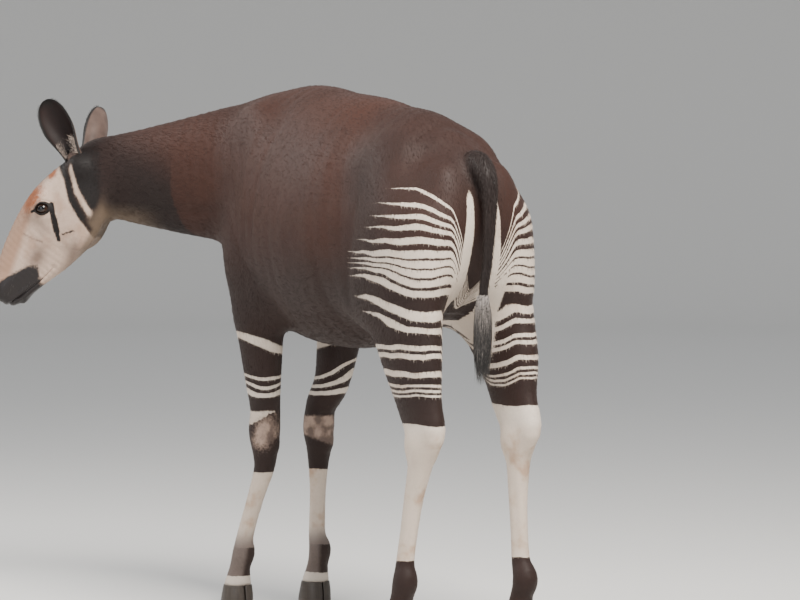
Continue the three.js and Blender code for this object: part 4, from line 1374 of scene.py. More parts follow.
# %% The scattering tree
def coat_tree():
    tree = bpy.data.node_groups.new("Lay tufts along the coat", "GeometryNodeTree")
    sockets = tree.interface
    sockets.new_socket("Skin", in_out="INPUT", socket_type="NodeSocketGeometry")
    sockets.new_socket("Tuft", in_out="INPUT", socket_type="NodeSocketObject")
    for name, value in (("Tufts per square metre", 20000.0), ("Length", 0.014), ("Lift", 0.2)):
        socket = sockets.new_socket(name, in_out="INPUT", socket_type="NodeSocketFloat")
        socket.default_value = value
    sockets.new_socket("Seed", in_out="INPUT", socket_type="NodeSocketInt")
    sockets.new_socket("Finish", in_out="INPUT", socket_type="NodeSocketMaterial")
    sockets.new_socket("Coat", in_out="OUTPUT", socket_type="NodeSocketGeometry")
    given = tree.nodes.new("NodeGroupInput").outputs

    def named(name, kind):
        node = box_of(tree, "GeometryNodeInputNamedAttribute", {"Name": name}, data_type=kind)
        return node.outputs["Attribute"]

    def vectors(operation, *values):
        node = box_of(tree, "ShaderNodeVectorMath", {}, operation=operation)
        for socket, value in zip(node.inputs, values):
            wire(tree, socket, value)
        return node.outputs[0]

    dense = sums(tree, "MULTIPLY", given["Tufts per square metre"], named("density", "FLOAT"))
    points = box_of(tree, "GeometryNodeDistributePointsOnFaces",
                    {"Mesh": given["Skin"], "Density": dense, "Seed": given["Seed"]})
    scatter = box_of(tree, "FunctionNodeRandomValue", {0: (-0.16, -0.16, -0.05), 1: (0.16, 0.16, 0.05)},
                     data_type="FLOAT_VECTOR")
    lifted = box_of(tree, "ShaderNodeVectorMath", {0: points.outputs["Normal"]}, operation="SCALE")
    wire(tree, lifted.inputs["Scale"], given["Lift"])
    flat = vectors("ADD", named("flat_lie", "FLOAT_VECTOR"), scatter.outputs[0])
    direction = vectors("NORMALIZE", vectors("ADD", flat, lifted.outputs[0]))
    turn = box_of(tree, "FunctionNodeAxesToRotation",
                  {"Primary Axis": direction, "Secondary Axis": points.outputs["Normal"]},
                  primary_axis="Z", secondary_axis="X")
    size = box_of(tree, "FunctionNodeRandomValue", {2: 0.7, 3: 1.25}, data_type="FLOAT")
    length = sums(tree, "MULTIPLY", given["Length"],
                  sums(tree, "MULTIPLY", size.outputs[1], named("coat_length", "FLOAT")))
    tuft = box_of(tree, "GeometryNodeObjectInfo", {"Object": given["Tuft"]})
    placed = box_of(tree, "GeometryNodeInstanceOnPoints", {
        "Points": points.outputs["Points"], "Instance": tuft.outputs["Geometry"],
        "Rotation": turn.outputs[0], "Scale": length})
    real = box_of(tree, "GeometryNodeRealizeInstances", {"Geometry": placed.outputs[0]})
    patch = box_of(tree, "ShaderNodeVectorMath", {0: named("blade", "FLOAT_VECTOR")}, operation="SCALE")
    patch.inputs["Scale"].default_value = 0.003
    flat_place = vectors("ADD", named("root", "FLOAT_VECTOR"), patch.outputs[0])
    mapped = box_of(tree, "GeometryNodeStoreNamedAttribute",
                    {"Geometry": real.outputs[0], "Name": "OFBake", "Value": flat_place},
                    data_type="FLOAT2", domain="CORNER")
    dressed = box_of(tree, "GeometryNodeSetMaterial",
                     {"Geometry": mapped.outputs[0], "Material": given["Finish"]})
    out = tree.nodes.new("NodeGroupOutput")
    tree.links.new(dressed.outputs[0], out.inputs[0])
    return tree


lay_tufts = coat_tree()

# %% Length, density and lie on the skin
skin_normals = np.empty(len(places) * 3, np.float32)
skin_mesh.vertex_normals.foreach_get("vector", skin_normals)
skin_normals = skin_normals.reshape(-1, 3)
flat_lie = lie - (lie * skin_normals).sum(1)[:, None] * skin_normals
flat_lie /= np.maximum(np.linalg.norm(flat_lie, axis=1), 0.2)[:, None]
write_vector(skin_mesh, "flat_lie", flat_lie)

coat_length = np.full(len(places), 1.0)
coat_length -= 0.35 * legs_part * smooth(700, 560, z)
coat_length -= head_part * (0.35 + 0.3 * smooth(200, 420, s))
belly_line = smooth(900, 780, z) * is_limb("trunk")
coat_length += 0.25 * belly_line
eye_gap = np.minimum(np.linalg.norm(places - on_head(EYE["s"], EYE["l"], EYE["n"]), axis=1),
                     np.linalg.norm(places - on_head(EYE["s"], -EYE["l"], EYE["n"]), axis=1))
bare = np.clip(muzzle * 1.3, 0, 1)
density = (1 - bare) * smooth(25, 34, eye_gap) * smooth(60, 66, z)
density = density * (1 - head_part * (np.abs(mouth_gap(s, n)) < 7) * (s > 315))
write_number(skin_mesh, "coat_length", coat_length)

# %% Laying the coat region by region
# Name, where it grows, tufts per square metre, length, lift and seed
COATS = [
    ("coat_barrel", is_limb("trunk") & (x > -200), 15000.0, 0.011, 0.09, 101),
    ("coat_haunch", is_limb("trunk") & (x <= -200), 24000.0, 0.009, 0.10, 102),
    ("coat_neck", is_limb("neck"), 26000.0, 0.011, 0.10, 103),
    ("coat_head", is_limb("head"), 62000.0, 0.010, 0.15, 104),
    ("coat_forelegs", is_limb("fore_left", "fore_right"), 26000.0, 0.009, 0.15, 105),
    ("coat_hindlegs", is_limb("hind_left", "hind_right"), 24000.0, 0.009, 0.15, 106),
    ("coat_tail", is_limb("tail"), 40000.0, 0.014, 0.18, 107),
]


def lay_coat(name, chosen, thickness, length, lift, seed):
    mesh = skin_mesh.copy()
    write_number(mesh, "density", density * chosen)
    coat = show(bpy.data.objects.new(name, mesh))
    modifier = coat.modifiers.new("tufts", "NODES")
    modifier.node_group = lay_tufts
    settings = {"Tuft": one_tuft, "Tufts per square metre": thickness, "Length": length,
                "Lift": lift, "Seed": seed, "Finish": tuft_coat}
    for item in lay_tufts.interface.items_tree:
        if item.name in settings:
            modifier[item.identifier] = settings[item.name]
    bpy.context.view_layer.update()
    ready = coat.evaluated_get(bpy.context.evaluated_depsgraph_get())
    made = bpy.data.meshes.new_from_object(ready)
    coat.modifiers.clear()
    coat.data = made
    bpy.data.meshes.remove(mesh)
    if not made.materials:
        made.materials.append(tuft_coat)
    for spare in ("lie", "flat_lie", "density", "coat_length", "blade", "root", "grain"):
        if spare in made.attributes:
            made.attributes.remove(made.attributes[spare])
    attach(coat, "root")
    count = sum(len(p.vertices) - 2 for p in made.polygons)
    print(name, "tuft triangles:", count, "map:", [u.name for u in made.uv_layers])


for row in COATS:
    lay_coat(*row)
bpy.data.objects.remove(one_tuft)

# %% [markdown]
# ## Single long hairs
#
# Eyelashes, whiskers, the fringe of an ear and the tail tuft are hairs one can count. Each is
# a slim three-sided spike along a curve, closed at its root and drawn out to a point. One
# function makes any number of them as a single mesh, with the map that the coat has too: a
# small patch for each hair at the place of its root.


# %% Hairs along curves
def hair_mesh(name, curves, thickness, roots):
    """Curves are rows of places in millimetres, from root to tip."""
    corners, faces, along, patches = [], [], [], []
    for row, thick, root in zip(curves, thickness, roots):
        row = np.asarray(row, float)
        base = len(corners)
        heading = np.gradient(row, axis=0)
        heading /= np.linalg.norm(heading, axis=1)[:, None]
        first = np.cross(heading, [0.31, 0.22, 0.92])
        first /= np.maximum(np.linalg.norm(first, axis=1), 1e-6)[:, None]
        second = np.cross(heading, first)
        for i in range(len(row) - 1):
            t = i / (len(row) - 1)
            wide = thick / 2 * (1 - t) ** 0.6
            for k in range(3):
                a = 2 * math.pi * k / 3
                corners.append(row[i] + wide * (math.cos(a) * first[i] + math.sin(a) * second[i]))
                along.append(t)
                patches.append((root[0] + 0.003 * k / 2, root[1] + 0.003 * t))
        corners.append(row[-1])
        along.append(1.0)
        patches.append((root[0] + 0.0015, root[1] + 0.003))
        faces.append((base + 2, base + 1, base))
        for i in range(len(row) - 2):
            for k in range(3):
                a, b = base + 3 * i + k, base + 3 * i + (k + 1) % 3
                faces.append((a, b, b + 3, a + 3))
        last = base + 3 * (len(row) - 2)
        for k in range(3):
            faces.append((last + k, last + (k + 1) % 3, len(corners) - 1))
    mesh = bpy.data.meshes.new(name)
    mesh.from_pydata(np.array(corners) * MILLIMETRE + LIFT_OFF, [], faces)
    layer = mesh.uv_layers.new(name="OFBake")
    for loop in mesh.loops:
        layer.data[loop.index].uv = patches[loop.vertex_index]
    write_number(mesh, "along", along)
    mesh.shade_smooth()
    return mesh


def curved(start, way, length, bend, steps):
    """A hair that leaves its root along one direction and bends towards another."""
    t = np.linspace(0, 1, steps)[:, None]
    return start + way * length * t + bend * length * t ** 2


def dressed(name, mesh, finish, slot, *nodes):
    obj = show(bpy.data.objects.new(name, mesh))
    mesh.materials.append(finish)
    if nodes:
        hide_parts(*nodes)
    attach(obj, "root")
    return obj


def hair_material(name, root_colour, tip_colour, turn_at, roughness):
    made, tree, shader = blank(name)
    spot = object_spot(tree)
    strand = cloud(tree, spot, 420.0, 2.0)
    where = sums(tree, "MULTIPLY_ADD", strand, 0.5, number_of(tree, "along"))
    share = step_between(tree, where, turn_at, turn_at + 0.35)
    colour = mixed(tree, share, root_colour, tip_colour)
    shade = tuple(0.35 * c for c in root_colour[:3]) + (1,)
    colour = mixed(tree, step_between(tree, cloud(tree, spot, 160.0), 0.52, 0.62), colour, shade)
    wire(tree, shader.inputs["Base Color"], colour)
    wire(tree, shader.inputs["Roughness"], sums(tree, "MULTIPLY_ADD", strand, 0.2, roughness))
    set_values(shader, Sheen_Weight=0.15)
    return made


black_hair = hair_material("okapi black lashes and whiskers",
                           (0.008, 0.006, 0.005, 1), (0.02, 0.015, 0.012, 1), 0.6, 0.35)
tail_hair = hair_material("okapi tail hair",
                          (0.20, 0.175, 0.16, 1), (0.016, 0.013, 0.012, 1), 0.42, 0.40)
ear_fringe = hair_material("okapi pale ear fringe",
                           (0.10, 0.070, 0.055, 1), (0.40, 0.32, 0.27, 1), 0.3, 0.5)

# %% [markdown]
# ## Eyes
#
# The eye is large and almost black. A real one is a ball with a clear dome in front, so the
# mesh swells over the iris, and the iris lies in the finish as a brown ring with a level, oval
# pupil. One clear coat gives the wet highlight.


# %% Eyeballs
def eye_material():
    made, tree, shader = blank("okapi wet dark eye")
    level, rise = number_of(tree, "level"), number_of(tree, "rise")
    ring = box_of(tree, "ShaderNodeVectorMath", {}, operation="LENGTH")
    both = box_of(tree, "ShaderNodeCombineXYZ", {0: level, 1: rise})
    wire(tree, ring.inputs[0], both.outputs[0])
    pupil_place = box_of(tree, "ShaderNodeCombineXYZ", {0: sums(tree, "MULTIPLY", level, 0.62), 1: rise})
    pupil = box_of(tree, "ShaderNodeVectorMath", {0: pupil_place.outputs[0]}, operation="LENGTH")
    fibres = cloud(tree, both.outputs[0], 14.0, 3.0)
    iris = mixed(tree, fibres, (0.010, 0.0050, 0.0030, 1), (0.034, 0.0160, 0.0090, 1))
    outside_pupil = step_between(tree, pupil.outputs["Value"], 0.26, 0.36)
    colour = mixed(tree, outside_pupil, (0.002, 0.002, 0.003, 1), iris)
    edge = step_between(tree, ring.outputs["Value"], 0.66, 0.78)
    colour = mixed(tree, edge, colour, (0.035, 0.022, 0.017, 1))
    wire(tree, shader.inputs["Base Color"], colour)
    set_values(shader, Roughness=0.18, Specular_IOR_Level=0.2, Coat_Weight=0.65, Coat_Roughness=0.02,
               IOR=1.38)
    return made


def eyeball_mesh(side):
    centre, out, along, up = eye_frame(side)
    made = bmesh.new()
    bmesh.ops.create_uvsphere(made, u_segments=48, v_segments=32, radius=1.0)
    levels, rises = [], []
    for vertex in made.verts:
        a, b, c = vertex.co
        level, rise = slanted(a, b)
        levels.append(level)
        rises.append(rise)
        away = math.hypot(a, b)
        dome = 1.0 + (0.055 * (1 - (away / 0.62) ** 2) if c > 0 and away < 0.62 else 0.0)
        place = centre + (EYE["radius"] - 0.4) * dome * (a * along + b * up + c * out)
        vertex.co = place * MILLIMETRE + LIFT_OFF
    if np.cross(along, up) @ out < 0:
        bmesh.ops.reverse_faces(made, faces=made.faces)
    mesh = plain_mesh("eyeball", made)
    write_number(mesh, "level", levels)
    write_number(mesh, "rise", rises)
    mesh.shade_smooth()
    return mesh


wet_eye = eye_material()
for side, name in ((1, "left"), (-1, "right")):
    dressed("eyeball_" + name, eyeball_mesh(side), wet_eye, "eye", "eye_" + name)


# %% Eyelashes
LASHES = 46


def lash_curves(side, rng):
    centre, out, along, up = eye_frame(side)
    level_way = along * math.cos(EYE_SLANT) + up * math.sin(EYE_SLANT)
    rise_way = -along * math.sin(EYE_SLANT) + up * math.cos(EYE_SLANT)
    curves = []
    for i in range(LASHES):
        a = math.radians(between(12, 165, i / (LASHES - 1))) + rng.normal(0, 0.02)
        level, rise = 1.08 * EYE_LONG * math.cos(a), 1.08 * EYE_TALL * math.sin(a)
        height = math.sqrt(max((EYE["radius"] + 3) ** 2 - level ** 2 - rise ** 2, 9))
        start = centre + level * level_way + rise * rise_way + (height - 1) * out
        way = out * 0.85 + rise_way * 0.42 + level_way * 0.35 * math.cos(a)
        curves.append(curved(start, way, 11 + rng.random() * 5, rise_way * -0.45, 5))
    return curves


rng = np.random.default_rng(31)
lashes = lash_curves(1, rng) + lash_curves(-1, rng)
lash_roots = [(0.70 + 0.002 * (i % 40), 0.93 + 0.004 * (i // 40)) for i in range(len(lashes))]
lash_mesh = hair_mesh("eyelashes", lashes, [0.8] * len(lashes), lash_roots)
dressed("eyelashes", lash_mesh, black_hair, "tuft_hair")


# %% Whiskers of the lips
WHISKERS = 70


def whisker_curves(rng):
    count = WHISKERS
    above = rng.random(count) < 0.45
    side = np.where(np.arange(count) % 2, 1, -1)
    along_lips = rng.uniform(400, 500, count)
    up = np.where(above, rng.uniform(2, 40, count), rng.uniform(-52, -22, count))
    starts = np.array([on_head(*row) for row in zip(along_lips, side * 60.0, up)])
    for _ in range(14):
        starts = onto_surface(skin_field, starts, 12)
    ways = slope_of(skin_field, starts, skin_field(starts))
    ways = ways / np.linalg.norm(ways, axis=1)[:, None] * 0.7 + ALONG_HEAD * 0.35
    sag = np.array([0, 0, -0.35])
    return [curved(start - way * 1.5, way, rng.uniform(10, 22), sag, 5) for start, way in zip(starts, ways)]


whiskers = whisker_curves(rng)
whisker_roots = [(0.70 + 0.003 * (i % 30), 0.95 + 0.004 * (i // 30)) for i in range(len(whiskers))]
whisker_mesh = hair_mesh("whiskers", whiskers, [0.55] * len(whiskers), whisker_roots)
dressed("whiskers", whisker_mesh, black_hair, "tuft_hair")

# %% [markdown]
# ## Ears
#
# An okapi's ear is a big leaf rolled into a funnel at its root. It's a thin closed shell here:
# a curved strip of outer skin, the same strip again inside it, and a rounded rim between. The
# left ear shows its dark hollow to us and the right one its back, as in the pose.

# %% Shell of an ear
EARS = {
    "left": {"base": (34, 50, 40), "axis": (0.33, 0.41, 1.0), "open": (-0.55, 0.8, 0.1)},
    "right": {"base": (34, -50, 40), "axis": (0.5, -0.53, 0.86), "open": (0.75, 0.5, -0.2)},
}
EAR_LENGTH, EAR_THICKNESS = 212.0, 4.4


def ear_frame(ear):
    axis = np.array(ear["axis"]) / np.linalg.norm(ear["axis"])
    open_way = np.array(ear["open"]) / np.linalg.norm(ear["open"])
    face = open_way - axis * (open_way @ axis)
    face /= np.linalg.norm(face)
    return on_head(*ear["base"]), axis, face, np.cross(axis, face)


def ear_point(frame_of_ear, u, t, inset):
    """A place on the ear: u from edge to edge, t from root to tip, inset from the back."""
    root, axis, face, wide = frame_of_ear
    spread = smooth(0, 0.55, t)
    tip = 1.0 if t < 0.6 else math.sqrt(max(1 - ((t - 0.6) / 0.4) ** 2, 0.0))
    width = max(2.5, (24 + 21 * spread) * tip)
    curl = math.radians(112 - 46 * max(t, 0))
    cup = width * (1.25 - 0.8 * max(t, 0))
    height = 26 + (EAR_LENGTH - 26) * t
    wing = max(math.sin(min(curl, math.pi / 2)), 0.6)
    a = u * curl
    deep = (math.cos(a) - math.cos(curl)) / (1 - math.cos(curl))
    thick = EAR_THICKNESS * (1 - 0.35 * max(t, 0)) * (1 - inset) * (1 - 0.5 * u ** 8)
    fold = 1.6 * math.sin(9 * u + 2 * t) * (1 - t) * inset
    return (root + axis * height + face * (-16 * t * t - cup * deep - thick * math.cos(a) + fold)
            + wide * (width / wing + thick) * math.sin(a))


def ear_mesh(ear, name):
    frame_of_ear = ear_frame(ear)
    heights = [-0.16, -0.08] + [0.06 * i for i in range(15)] + [0.88, 0.92, 0.95, 0.975, 0.99, 0.998]
    across = 22
    corners, faces, tall, inside, rim = [], [], [], [], []
    for t in heights:
        outer = [(-1 + 2 * j / across, 0.0) for j in range(across + 1)]
        inner = [(0.985 - 1.97 * j / (across - 2), 1.0) for j in range(across - 1)]
        for u, inset in outer + inner:
            corners.append(ear_point(frame_of_ear, u, t, inset))
            tall.append(t)
            inside.append(inset)
            rim.append(abs(u))
    ring = 2 * across
    for i in range(len(heights) - 1):
        for j in range(ring):
            k = (j + 1) % ring
            faces.append((i * ring + j, i * ring + k, (i + 1) * ring + k, (i + 1) * ring + j))
    for row in (0, len(heights) - 1):
        for j in range(across - 1):
            a, b = row * ring + j, row * ring + j + 1
            c, d = row * ring + (ring - 1 - j), row * ring + (ring - j) % ring
            faces.append((a, b, c) if j == 0 else (a, b, c, d))
        faces.append((row * ring + across - 1, row * ring + across, row * ring + across + 1))
    made = mesh_from(np.array(corners) * MILLIMETRE + LIFT_OFF, faces)
    bmesh.ops.recalc_face_normals(made, faces=made.faces)
    mesh = plain_mesh(name, made)
    write_number(mesh, "tall", tall)
    write_number(mesh, "inside", inside)
    write_number(mesh, "rim", rim)
    mesh.shade_smooth()
    return mesh


def ear_material():
    made, tree, shader = blank("okapi ear velvet and skin")
    spot = object_spot(tree)
    hair = cloud(tree, spot, 520.0, 3.0, 0.65)
    patchy = cloud(tree, spot, 26.0, 3.0)
    # The back of the ear is dark brown; the paler pinkish grey of its patches is painted sunlight.
    back = mixed(tree, patchy, (0.030, 0.019, 0.015, 1), (0.150, 0.098, 0.080, 1))
    hollow = mixed(tree, patchy, (0.0060, 0.0030, 0.0026, 1), (0.018, 0.0075, 0.0062, 1))
    # Painted shade: the hollow turns darker deep in the funnel, towards the root.
    low = step_between(tree, number_of(tree, "tall"), 0.30, 0.02)
    hollow = mixed(tree, low, hollow, (0.008, 0.005, 0.005, 1))
    colour = mixed(tree, number_of(tree, "inside"), back, hollow)
    edge = step_between(tree, sums(tree, "MULTIPLY_ADD", hair, 0.10, number_of(tree, "rim")), 0.86, 0.96)
    tip = step_between(tree, number_of(tree, "tall"), 0.86, 0.99)
    colour = mixed(tree, sums(tree, "MAXIMUM", edge, tip), colour, (0.0055, 0.0042, 0.0040, 1))
    wire(tree, shader.inputs["Base Color"], colour)
    wire(tree, shader.inputs["Roughness"], sums(tree, "MULTIPLY_ADD", hair, 0.25, 0.48))
    set_values(shader, Sheen_Weight=0.05, Specular_IOR_Level=0.25)
    add_bump(tree, shader, hair, 0.4, 0.0008)
    return made


ear_velvet = ear_material()
for name, ear in EARS.items():
    dressed("ear_shell_" + name, ear_mesh(ear, "ear shell"), ear_velvet, "ear_dark", "ear_" + name)


# %% Root of the ear and its fringe
def ear_root_mesh(ear):
    """The fleshy bulb in which the funnel stands, hollowed on its open side."""
    root, axis, face, wide = ear_frame(ear)
    made = bmesh.new()
    bmesh.ops.create_icosphere(made, subdivisions=4, radius=1.0)
    for vertex in made.verts:
        a, b, c = vertex.co
        hollow = 0.45 * math.exp(-((a / 0.5) ** 2 + ((c - 0.75) / 0.45) ** 2)) * (b > -0.2)
        place = root + axis * (12 + 36 * c * (1 - 0.5 * hollow)) - face * 15 + wide * 27 * a * (1 - 0.15 * c)
        vertex.co = (place + face * 19 * b * (1 - hollow)) * MILLIMETRE + LIFT_OFF
    mesh = plain_mesh("ear root", made)
    count = len(mesh.vertices)
    write_number(mesh, "tall", np.full(count, 0.12))
    write_number(mesh, "inside", np.zeros(count))
    write_number(mesh, "rim", np.zeros(count))
    mesh.shade_smooth()
    return mesh


FRINGE_HAIRS, RIM_HAIRS = 300, 420


def fringe_curves(ear, rng):
    """The pale hairs inside the funnel, then the short ones all along its rim."""
    frame_of_ear = ear_frame(ear)
    root, axis, face, wide = frame_of_ear
    curves = []
    for i in range(FRINGE_HAIRS):
        t = rng.uniform(0.0, 0.24)
        edge = 1 if i % 3 else -1
        start = ear_point(frame_of_ear, edge * rng.uniform(0.80, 0.97), t, 0.8)
        way = -wide * edge * rng.uniform(0.2, 0.8) + axis * 0.8 + face * 0.3 + rng.normal(0, 0.2, 3)
        curves.append(curved(start, way, rng.uniform(8, 27), face * 0.15, 5))
    for i in range(RIM_HAIRS):
        side_of_rim = 1 if i % 2 else -1
        t = between(0.02, 0.97, i / RIM_HAIRS)
        start = ear_point(frame_of_ear, side_of_rim * 0.99, t, 0.3)
        way = wide * side_of_rim * 0.5 + axis * 0.8 + rng.normal(0, 0.15, 3)
        curves.append(curved(start, way, rng.uniform(4, 8), axis * 0.1, 4))
    return curves


for row, (name, ear) in enumerate(EARS.items()):
    dressed("ear_root_" + name, ear_root_mesh(ear), ear_velvet, "ear_dark")
    curves = fringe_curves(ear, rng)
    roots = [(0.80 + 0.004 * (i % 40), 0.70 + 0.1 * row + 0.004 * (i // 40)) for i in range(len(curves))]
    for piece, rows, finish in (("fringe", slice(0, FRINGE_HAIRS), ear_fringe),
                                ("rim", slice(FRINGE_HAIRS, None), black_hair)):
        hairs = hair_mesh("ear " + piece, curves[rows], [0.8] * len(curves[rows]), roots[rows])
        dressed(f"ear_{piece}_{name}", hairs, finish, "ear_dark")

# %% [markdown]
# ## Hooves
#
# Each foot stands on two claws of horn with a slit between them. Horn grows down from the
# coronet in rings, so the wall has fine level ridges and the material faint upright streaks,
# and the ground wears the lower edge round.

# %% One claw
CLAW_STATIONS = np.array([
    [0.0, 58.0, -43.0, 41.0], [1.5, 60.0, -44.5, 42.4], [7.0, 61.0, -46.0, 43.5],
    [20.0, 56.5, -45.6, 43.3], [36.0, 50.0, -45.0, 43.0], [50.0, 43.5, -42.6, 42.0],
    [61.7, 38.0, -40.0, 41.0]])


def claw_mesh(foot, way):
    heights = np.concatenate([[0.0, 0.6, 1.5, 3.0], np.linspace(5.5, 58.5, 26), [60.4, 61.7]])
    inner, around = 2.5, 44
    made = bmesh.new()
    rows = []
    for z in heights:
        toe, heel, half = (np.interp(z, CLAW_STATIONS[:, 0], CLAW_STATIONS[:, k]) for k in (1, 2, 3))
        ridge = 0.45 * math.sin(z * 1.15 + 0.4) * (3 < z < 58)
        row = []
        for i in range(around + 1):
            a = math.pi * i / around
            ahead = (toe if math.cos(a) > 0 else -heel) * math.cos(a)
            out = inner + (half - inner) * math.sin(a) ** 0.8 * (1 - 0.12 * max(0, math.cos(a)))
            grow = 1 + ridge / 60
            place = np.array([foot[0] + ahead * grow, foot[1] + way * (inner + (out - inner) * grow), z])
            row.append(made.verts.new(place * MILLIMETRE + LIFT_OFF))
        for i in range(around - 1, 0, -1):
            a = math.pi * i / around
            ahead = (toe if math.cos(a) > 0 else -heel) * math.cos(a)
            slit = 1.4 * math.sin(math.pi * i / around)
            place = np.array([foot[0] + ahead * 0.99, foot[1] + way * (inner + slit), z])
            row.append(made.verts.new(place * MILLIMETRE + LIFT_OFF))
        rows.append(row)
    for low_row, high_row in zip(rows, rows[1:]):
        for i in range(len(low_row)):
            j = (i + 1) % len(low_row)
            made.faces.new([low_row[i], low_row[j], high_row[j], high_row[i]])
    made.faces.new(rows[0])
    made.faces.new(rows[-1])
    bmesh.ops.triangulate(made, faces=[f for f in made.faces if len(f.verts) > 4])
    bmesh.ops.recalc_face_normals(made, faces=made.faces)
    mesh = plain_mesh("claw", made)
    mesh.shade_smooth()
    return mesh


def horn_material():
    made, tree, shader = blank("okapi dark hoof horn")
    spot = object_spot(tree)
    squeeze = box_of(tree, "ShaderNodeMapping", {"Vector": spot})
    squeeze.inputs["Scale"].default_value = (1.0, 1.0, 0.08)
    streaks = cloud(tree, squeeze.outputs[0], 220.0, 3.0)
    rings = box_of(tree, "ShaderNodeMapping", {"Vector": spot})
    rings.inputs["Scale"].default_value = (0.05, 0.05, 1.0)
    ridges = cloud(tree, rings.outputs[0], 260.0, 2.0)
    height = box_of(tree, "ShaderNodeSeparateXYZ", {0: spot}).outputs[2]
    colour = mixed(tree, streaks, (0.016, 0.0125, 0.0105, 1), (0.075, 0.056, 0.042, 1))
    dust = step_between(tree, sums(tree, "MULTIPLY_ADD", streaks, 0.014, height), 0.022, 0.004)
    colour = mixed(tree, sums(tree, "MULTIPLY", dust, 0.55), colour, (0.17, 0.125, 0.085, 1))
    wire(tree, shader.inputs["Base Color"], colour)
    wire(tree, shader.inputs["Roughness"], sums(tree, "MULTIPLY_ADD", ridges, 0.3, 0.34))
    add_bump(tree, shader, ridges, 0.35, 0.0009)
    return made


dark_horn = horn_material()
for name, leg in (("fore_left", FORE_LEFT), ("fore_right", FORE_RIGHT),
                  ("hind_left", HIND_LEFT), ("hind_right", HIND_RIGHT)):
    for half, way in (("outer", leg["side"]), ("inner", -leg["side"])):
        claw = claw_mesh(leg["foot"], way)
        dressed(f"claw_{name}_{half}", claw, dark_horn, "hoof_horn", f"hoof_{name}_{half}")


# %% [markdown]
# ## Tail tuft
#
# The long hairs of the tail start in a ring at the end of the tail's flesh and lower down
# along it, hang together and end raggedly a hand above the hock. Their upper part is grey and
# their tips are black.

# %% Hairs of the tail
TAIL_HAIRS = 760


def tuft_curves(rng):
    curves = []
    for i in range(TAIL_HAIRS):
        share = rng.random()
        high = between(930, 800, share ** 1.2)
        facing = rng.uniform(0, 2 * math.pi)
        radius = between(13, 8, share)
        outward = np.array([math.cos(facing), math.sin(facing), 0.0])
        middle = np.array([between(-626, -624, share), between(21, 26, share), high])
        start = middle + outward * radius
        low = rng.uniform(682, 760) if rng.random() < 0.75 else rng.uniform(740, 820)
        length = max(high - low, 60)
        swell = between(13, 7, rng.random() ** 2) * math.sin(math.pi * (0.25 + 0.5 * rng.random()))
        t = np.linspace(0, 1, 7)[:, None]
        drop = np.array([0.0, 0.0, -length])
        belly_out = outward * swell * np.sin(np.pi * np.minimum(t * 1.15, 1)) * (1 - 0.35 * t)
        gather = outward * between(-0.5, 0.9, rng.random()) * radius * t ** 1.5
        wave = np.column_stack([np.sin(5 * t + i) * 2.2, np.cos(4 * t + 2 * i) * 2.2, np.zeros_like(t)]) * t
        curves.append(start + drop * t + belly_out + gather + wave)
    return curves


def tuft_core_mesh():
    """The dense middle of the tuft, with a fluted surface under the single hairs."""
    made = bmesh.new()
    rows = []
    for z, size in ((925, 11), (900, 13), (860, 17), (815, 18.5), (770, 15), (745, 10), (728, 5), (720, 2)):
        row = []
        for i in range(36):
            a = 2 * math.pi * i / 36
            flute = 1 + 0.12 * math.sin(9 * a + z * 0.02) + 0.06 * math.sin(17 * a)
            place = np.array([-624 + size * flute * math.cos(a), 25 + size * flute * math.sin(a), z])
            row.append(made.verts.new(place * MILLIMETRE + LIFT_OFF))
        rows.append(row)
    for high_row, low_row in zip(rows, rows[1:]):
        for i in range(36):
            j = (i + 1) % 36
            made.faces.new([high_row[j], high_row[i], low_row[i], low_row[j]])
    made.faces.new(rows[0])
    made.faces.new(rows[-1][::-1])
    bmesh.ops.recalc_face_normals(made, faces=made.faces)
    mesh = plain_mesh("tuft core", made)
    heights = np.array([v.co.z for v in mesh.vertices])
    write_number(mesh, "along", np.clip((0.925 - heights) / 0.23, 0, 1))
    mesh.shade_smooth()
    return mesh


tail_curves = tuft_curves(rng)
tail_roots = [(0.03 + 0.004 * (i % 70), 0.70 + 0.004 * (i // 70)) for i in range(len(tail_curves))]
tail_mesh = hair_mesh("tail hair", tail_curves, list(rng.uniform(1.1, 2.4, len(tail_curves))), tail_roots)
dressed("tail_hair", tail_mesh, tail_hair, "tuft_hair", "tail_tuft")
dressed("tail_core", tuft_core_mesh(), tail_hair, "tuft_hair")

# %% [markdown]
# ## Floor, light and camera
#
# A plain pale floor that curves up into a backdrop all round, one large soft light and two
# weaker ones, and a camera a little lower than the animal's back, far away with a long lens, as
# such a picture is taken.

# %% Floor and backdrop
def plain_material(name, colour, roughness):
    made, tree, shader = blank(name)
    spot = object_spot(tree)
    speckle = sums(tree, "MULTIPLY", cloud(tree, spot, 30.0, 4.0), 0.10)
    darker = tuple(0.85 * c for c in colour[:3]) + (1,)
    wire(tree, shader.inputs["Base Color"], mixed(tree, speckle, colour, darker))
    shader.inputs["Roughness"].default_value = roughness
    return made


VIEW = Vector((0.839, -0.545, 0.0))


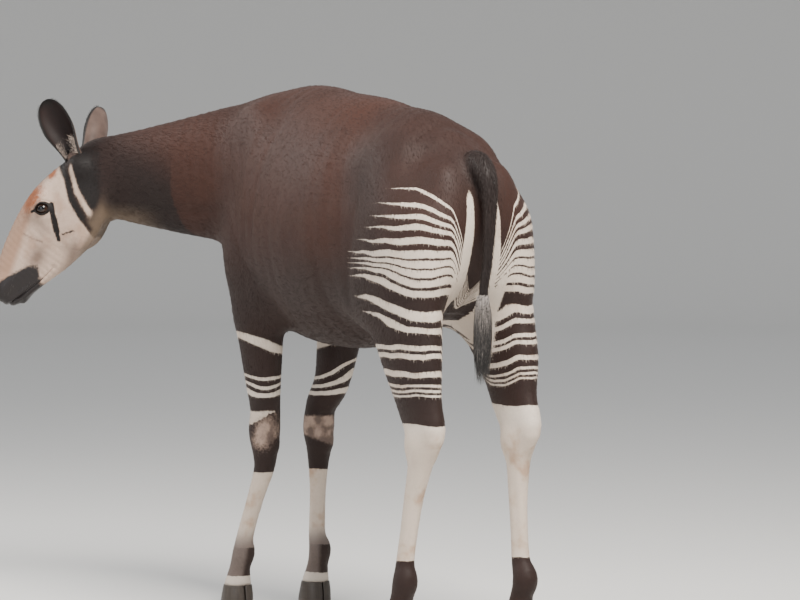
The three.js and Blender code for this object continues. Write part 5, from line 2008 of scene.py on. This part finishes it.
def sweep_mesh():
    """A round floor whose far rim curves up, so every view has the same paper behind it."""
    profile = [(0.0, 0.0), (4.0, 0.0), (10.0, 0.0), (17.0, 0.0)]
    for i in range(1, 13):
        a = math.radians(90 * i / 12)
        profile.append((17 + 3 * math.sin(a), 3 * (1 - math.cos(a))))
    profile.append((20.0, 6.0))
    made = bmesh.new()
    centre = made.verts.new((0, 0, 0))
    rows = []
    for radius, height in profile[1:]:
        angles = [2 * math.pi * i / 72 for i in range(72)]
        rows.append([made.verts.new((radius * math.cos(a), radius * math.sin(a), height)) for a in angles])
    for i in range(72):
        j = (i + 1) % 72
        made.faces.new([centre, rows[0][i], rows[0][j]])
        for inner, outer in zip(rows, rows[1:]):
            made.faces.new([inner[i], outer[i], outer[j], inner[j]])
    mesh = plain_mesh("floor_and_backdrop", made)
    mesh.shade_smooth()
    return mesh


floor = show(bpy.data.objects.new("floor_and_backdrop", sweep_mesh()))
floor.data.materials.append(plain_material("pale studio paper", (0.70, 0.69, 0.67, 1), 0.9))


# %% Lights
def soft_light(name, place, aim, power, size, colour):
    light = bpy.data.lights.new(name, "AREA")
    light.energy = power
    light.size = size
    light.color = colour
    lamp = show(bpy.data.objects.new(name, light))
    lamp.location = place
    lamp.rotation_euler = (Vector(aim) - Vector(place)).to_track_quat("-Z", "Y").to_euler()
    return lamp


soft_light("key light", (-3.4, 0.2, 4.6), (0.0, 0.0, 0.8), 600, 2.2, (1.0, 0.96, 0.90))
soft_light("fill light", (-3.0, 5.6, 2.2), (0.1, 0.2, 0.8), 120, 3.6, (0.93, 0.96, 1.0))
soft_light("rim light", (3.4, 3.0, 3.6), (0.0, 0.0, 1.0), 190, 2.2, (1.0, 0.98, 0.95))

world = bpy.data.worlds.new("soft room")
bpy.context.scene.world = world
world.use_nodes = True
world.node_tree.nodes["Background"].inputs[0].default_value = (0.93, 0.96, 1.0, 1)
world.node_tree.nodes["Background"].inputs[1].default_value = 0.62

# %% Camera
lens = bpy.data.cameras.new("camera")
lens.lens = 177.9
lens.sensor_width = 36
lens.clip_end = 100
camera = show(bpy.data.objects.new("camera", lens))
camera.location = Vector((-9.285, 5.909, 1.35)) + Vector(SHIFT) * MILLIMETRE
pitch = math.radians(2.375)
sight = VIEW.normalized() * math.cos(pitch) - Vector((0, 0, math.sin(pitch)))
camera.rotation_euler = sight.to_track_quat("-Z", "Y").to_euler()
bpy.context.scene.camera = camera
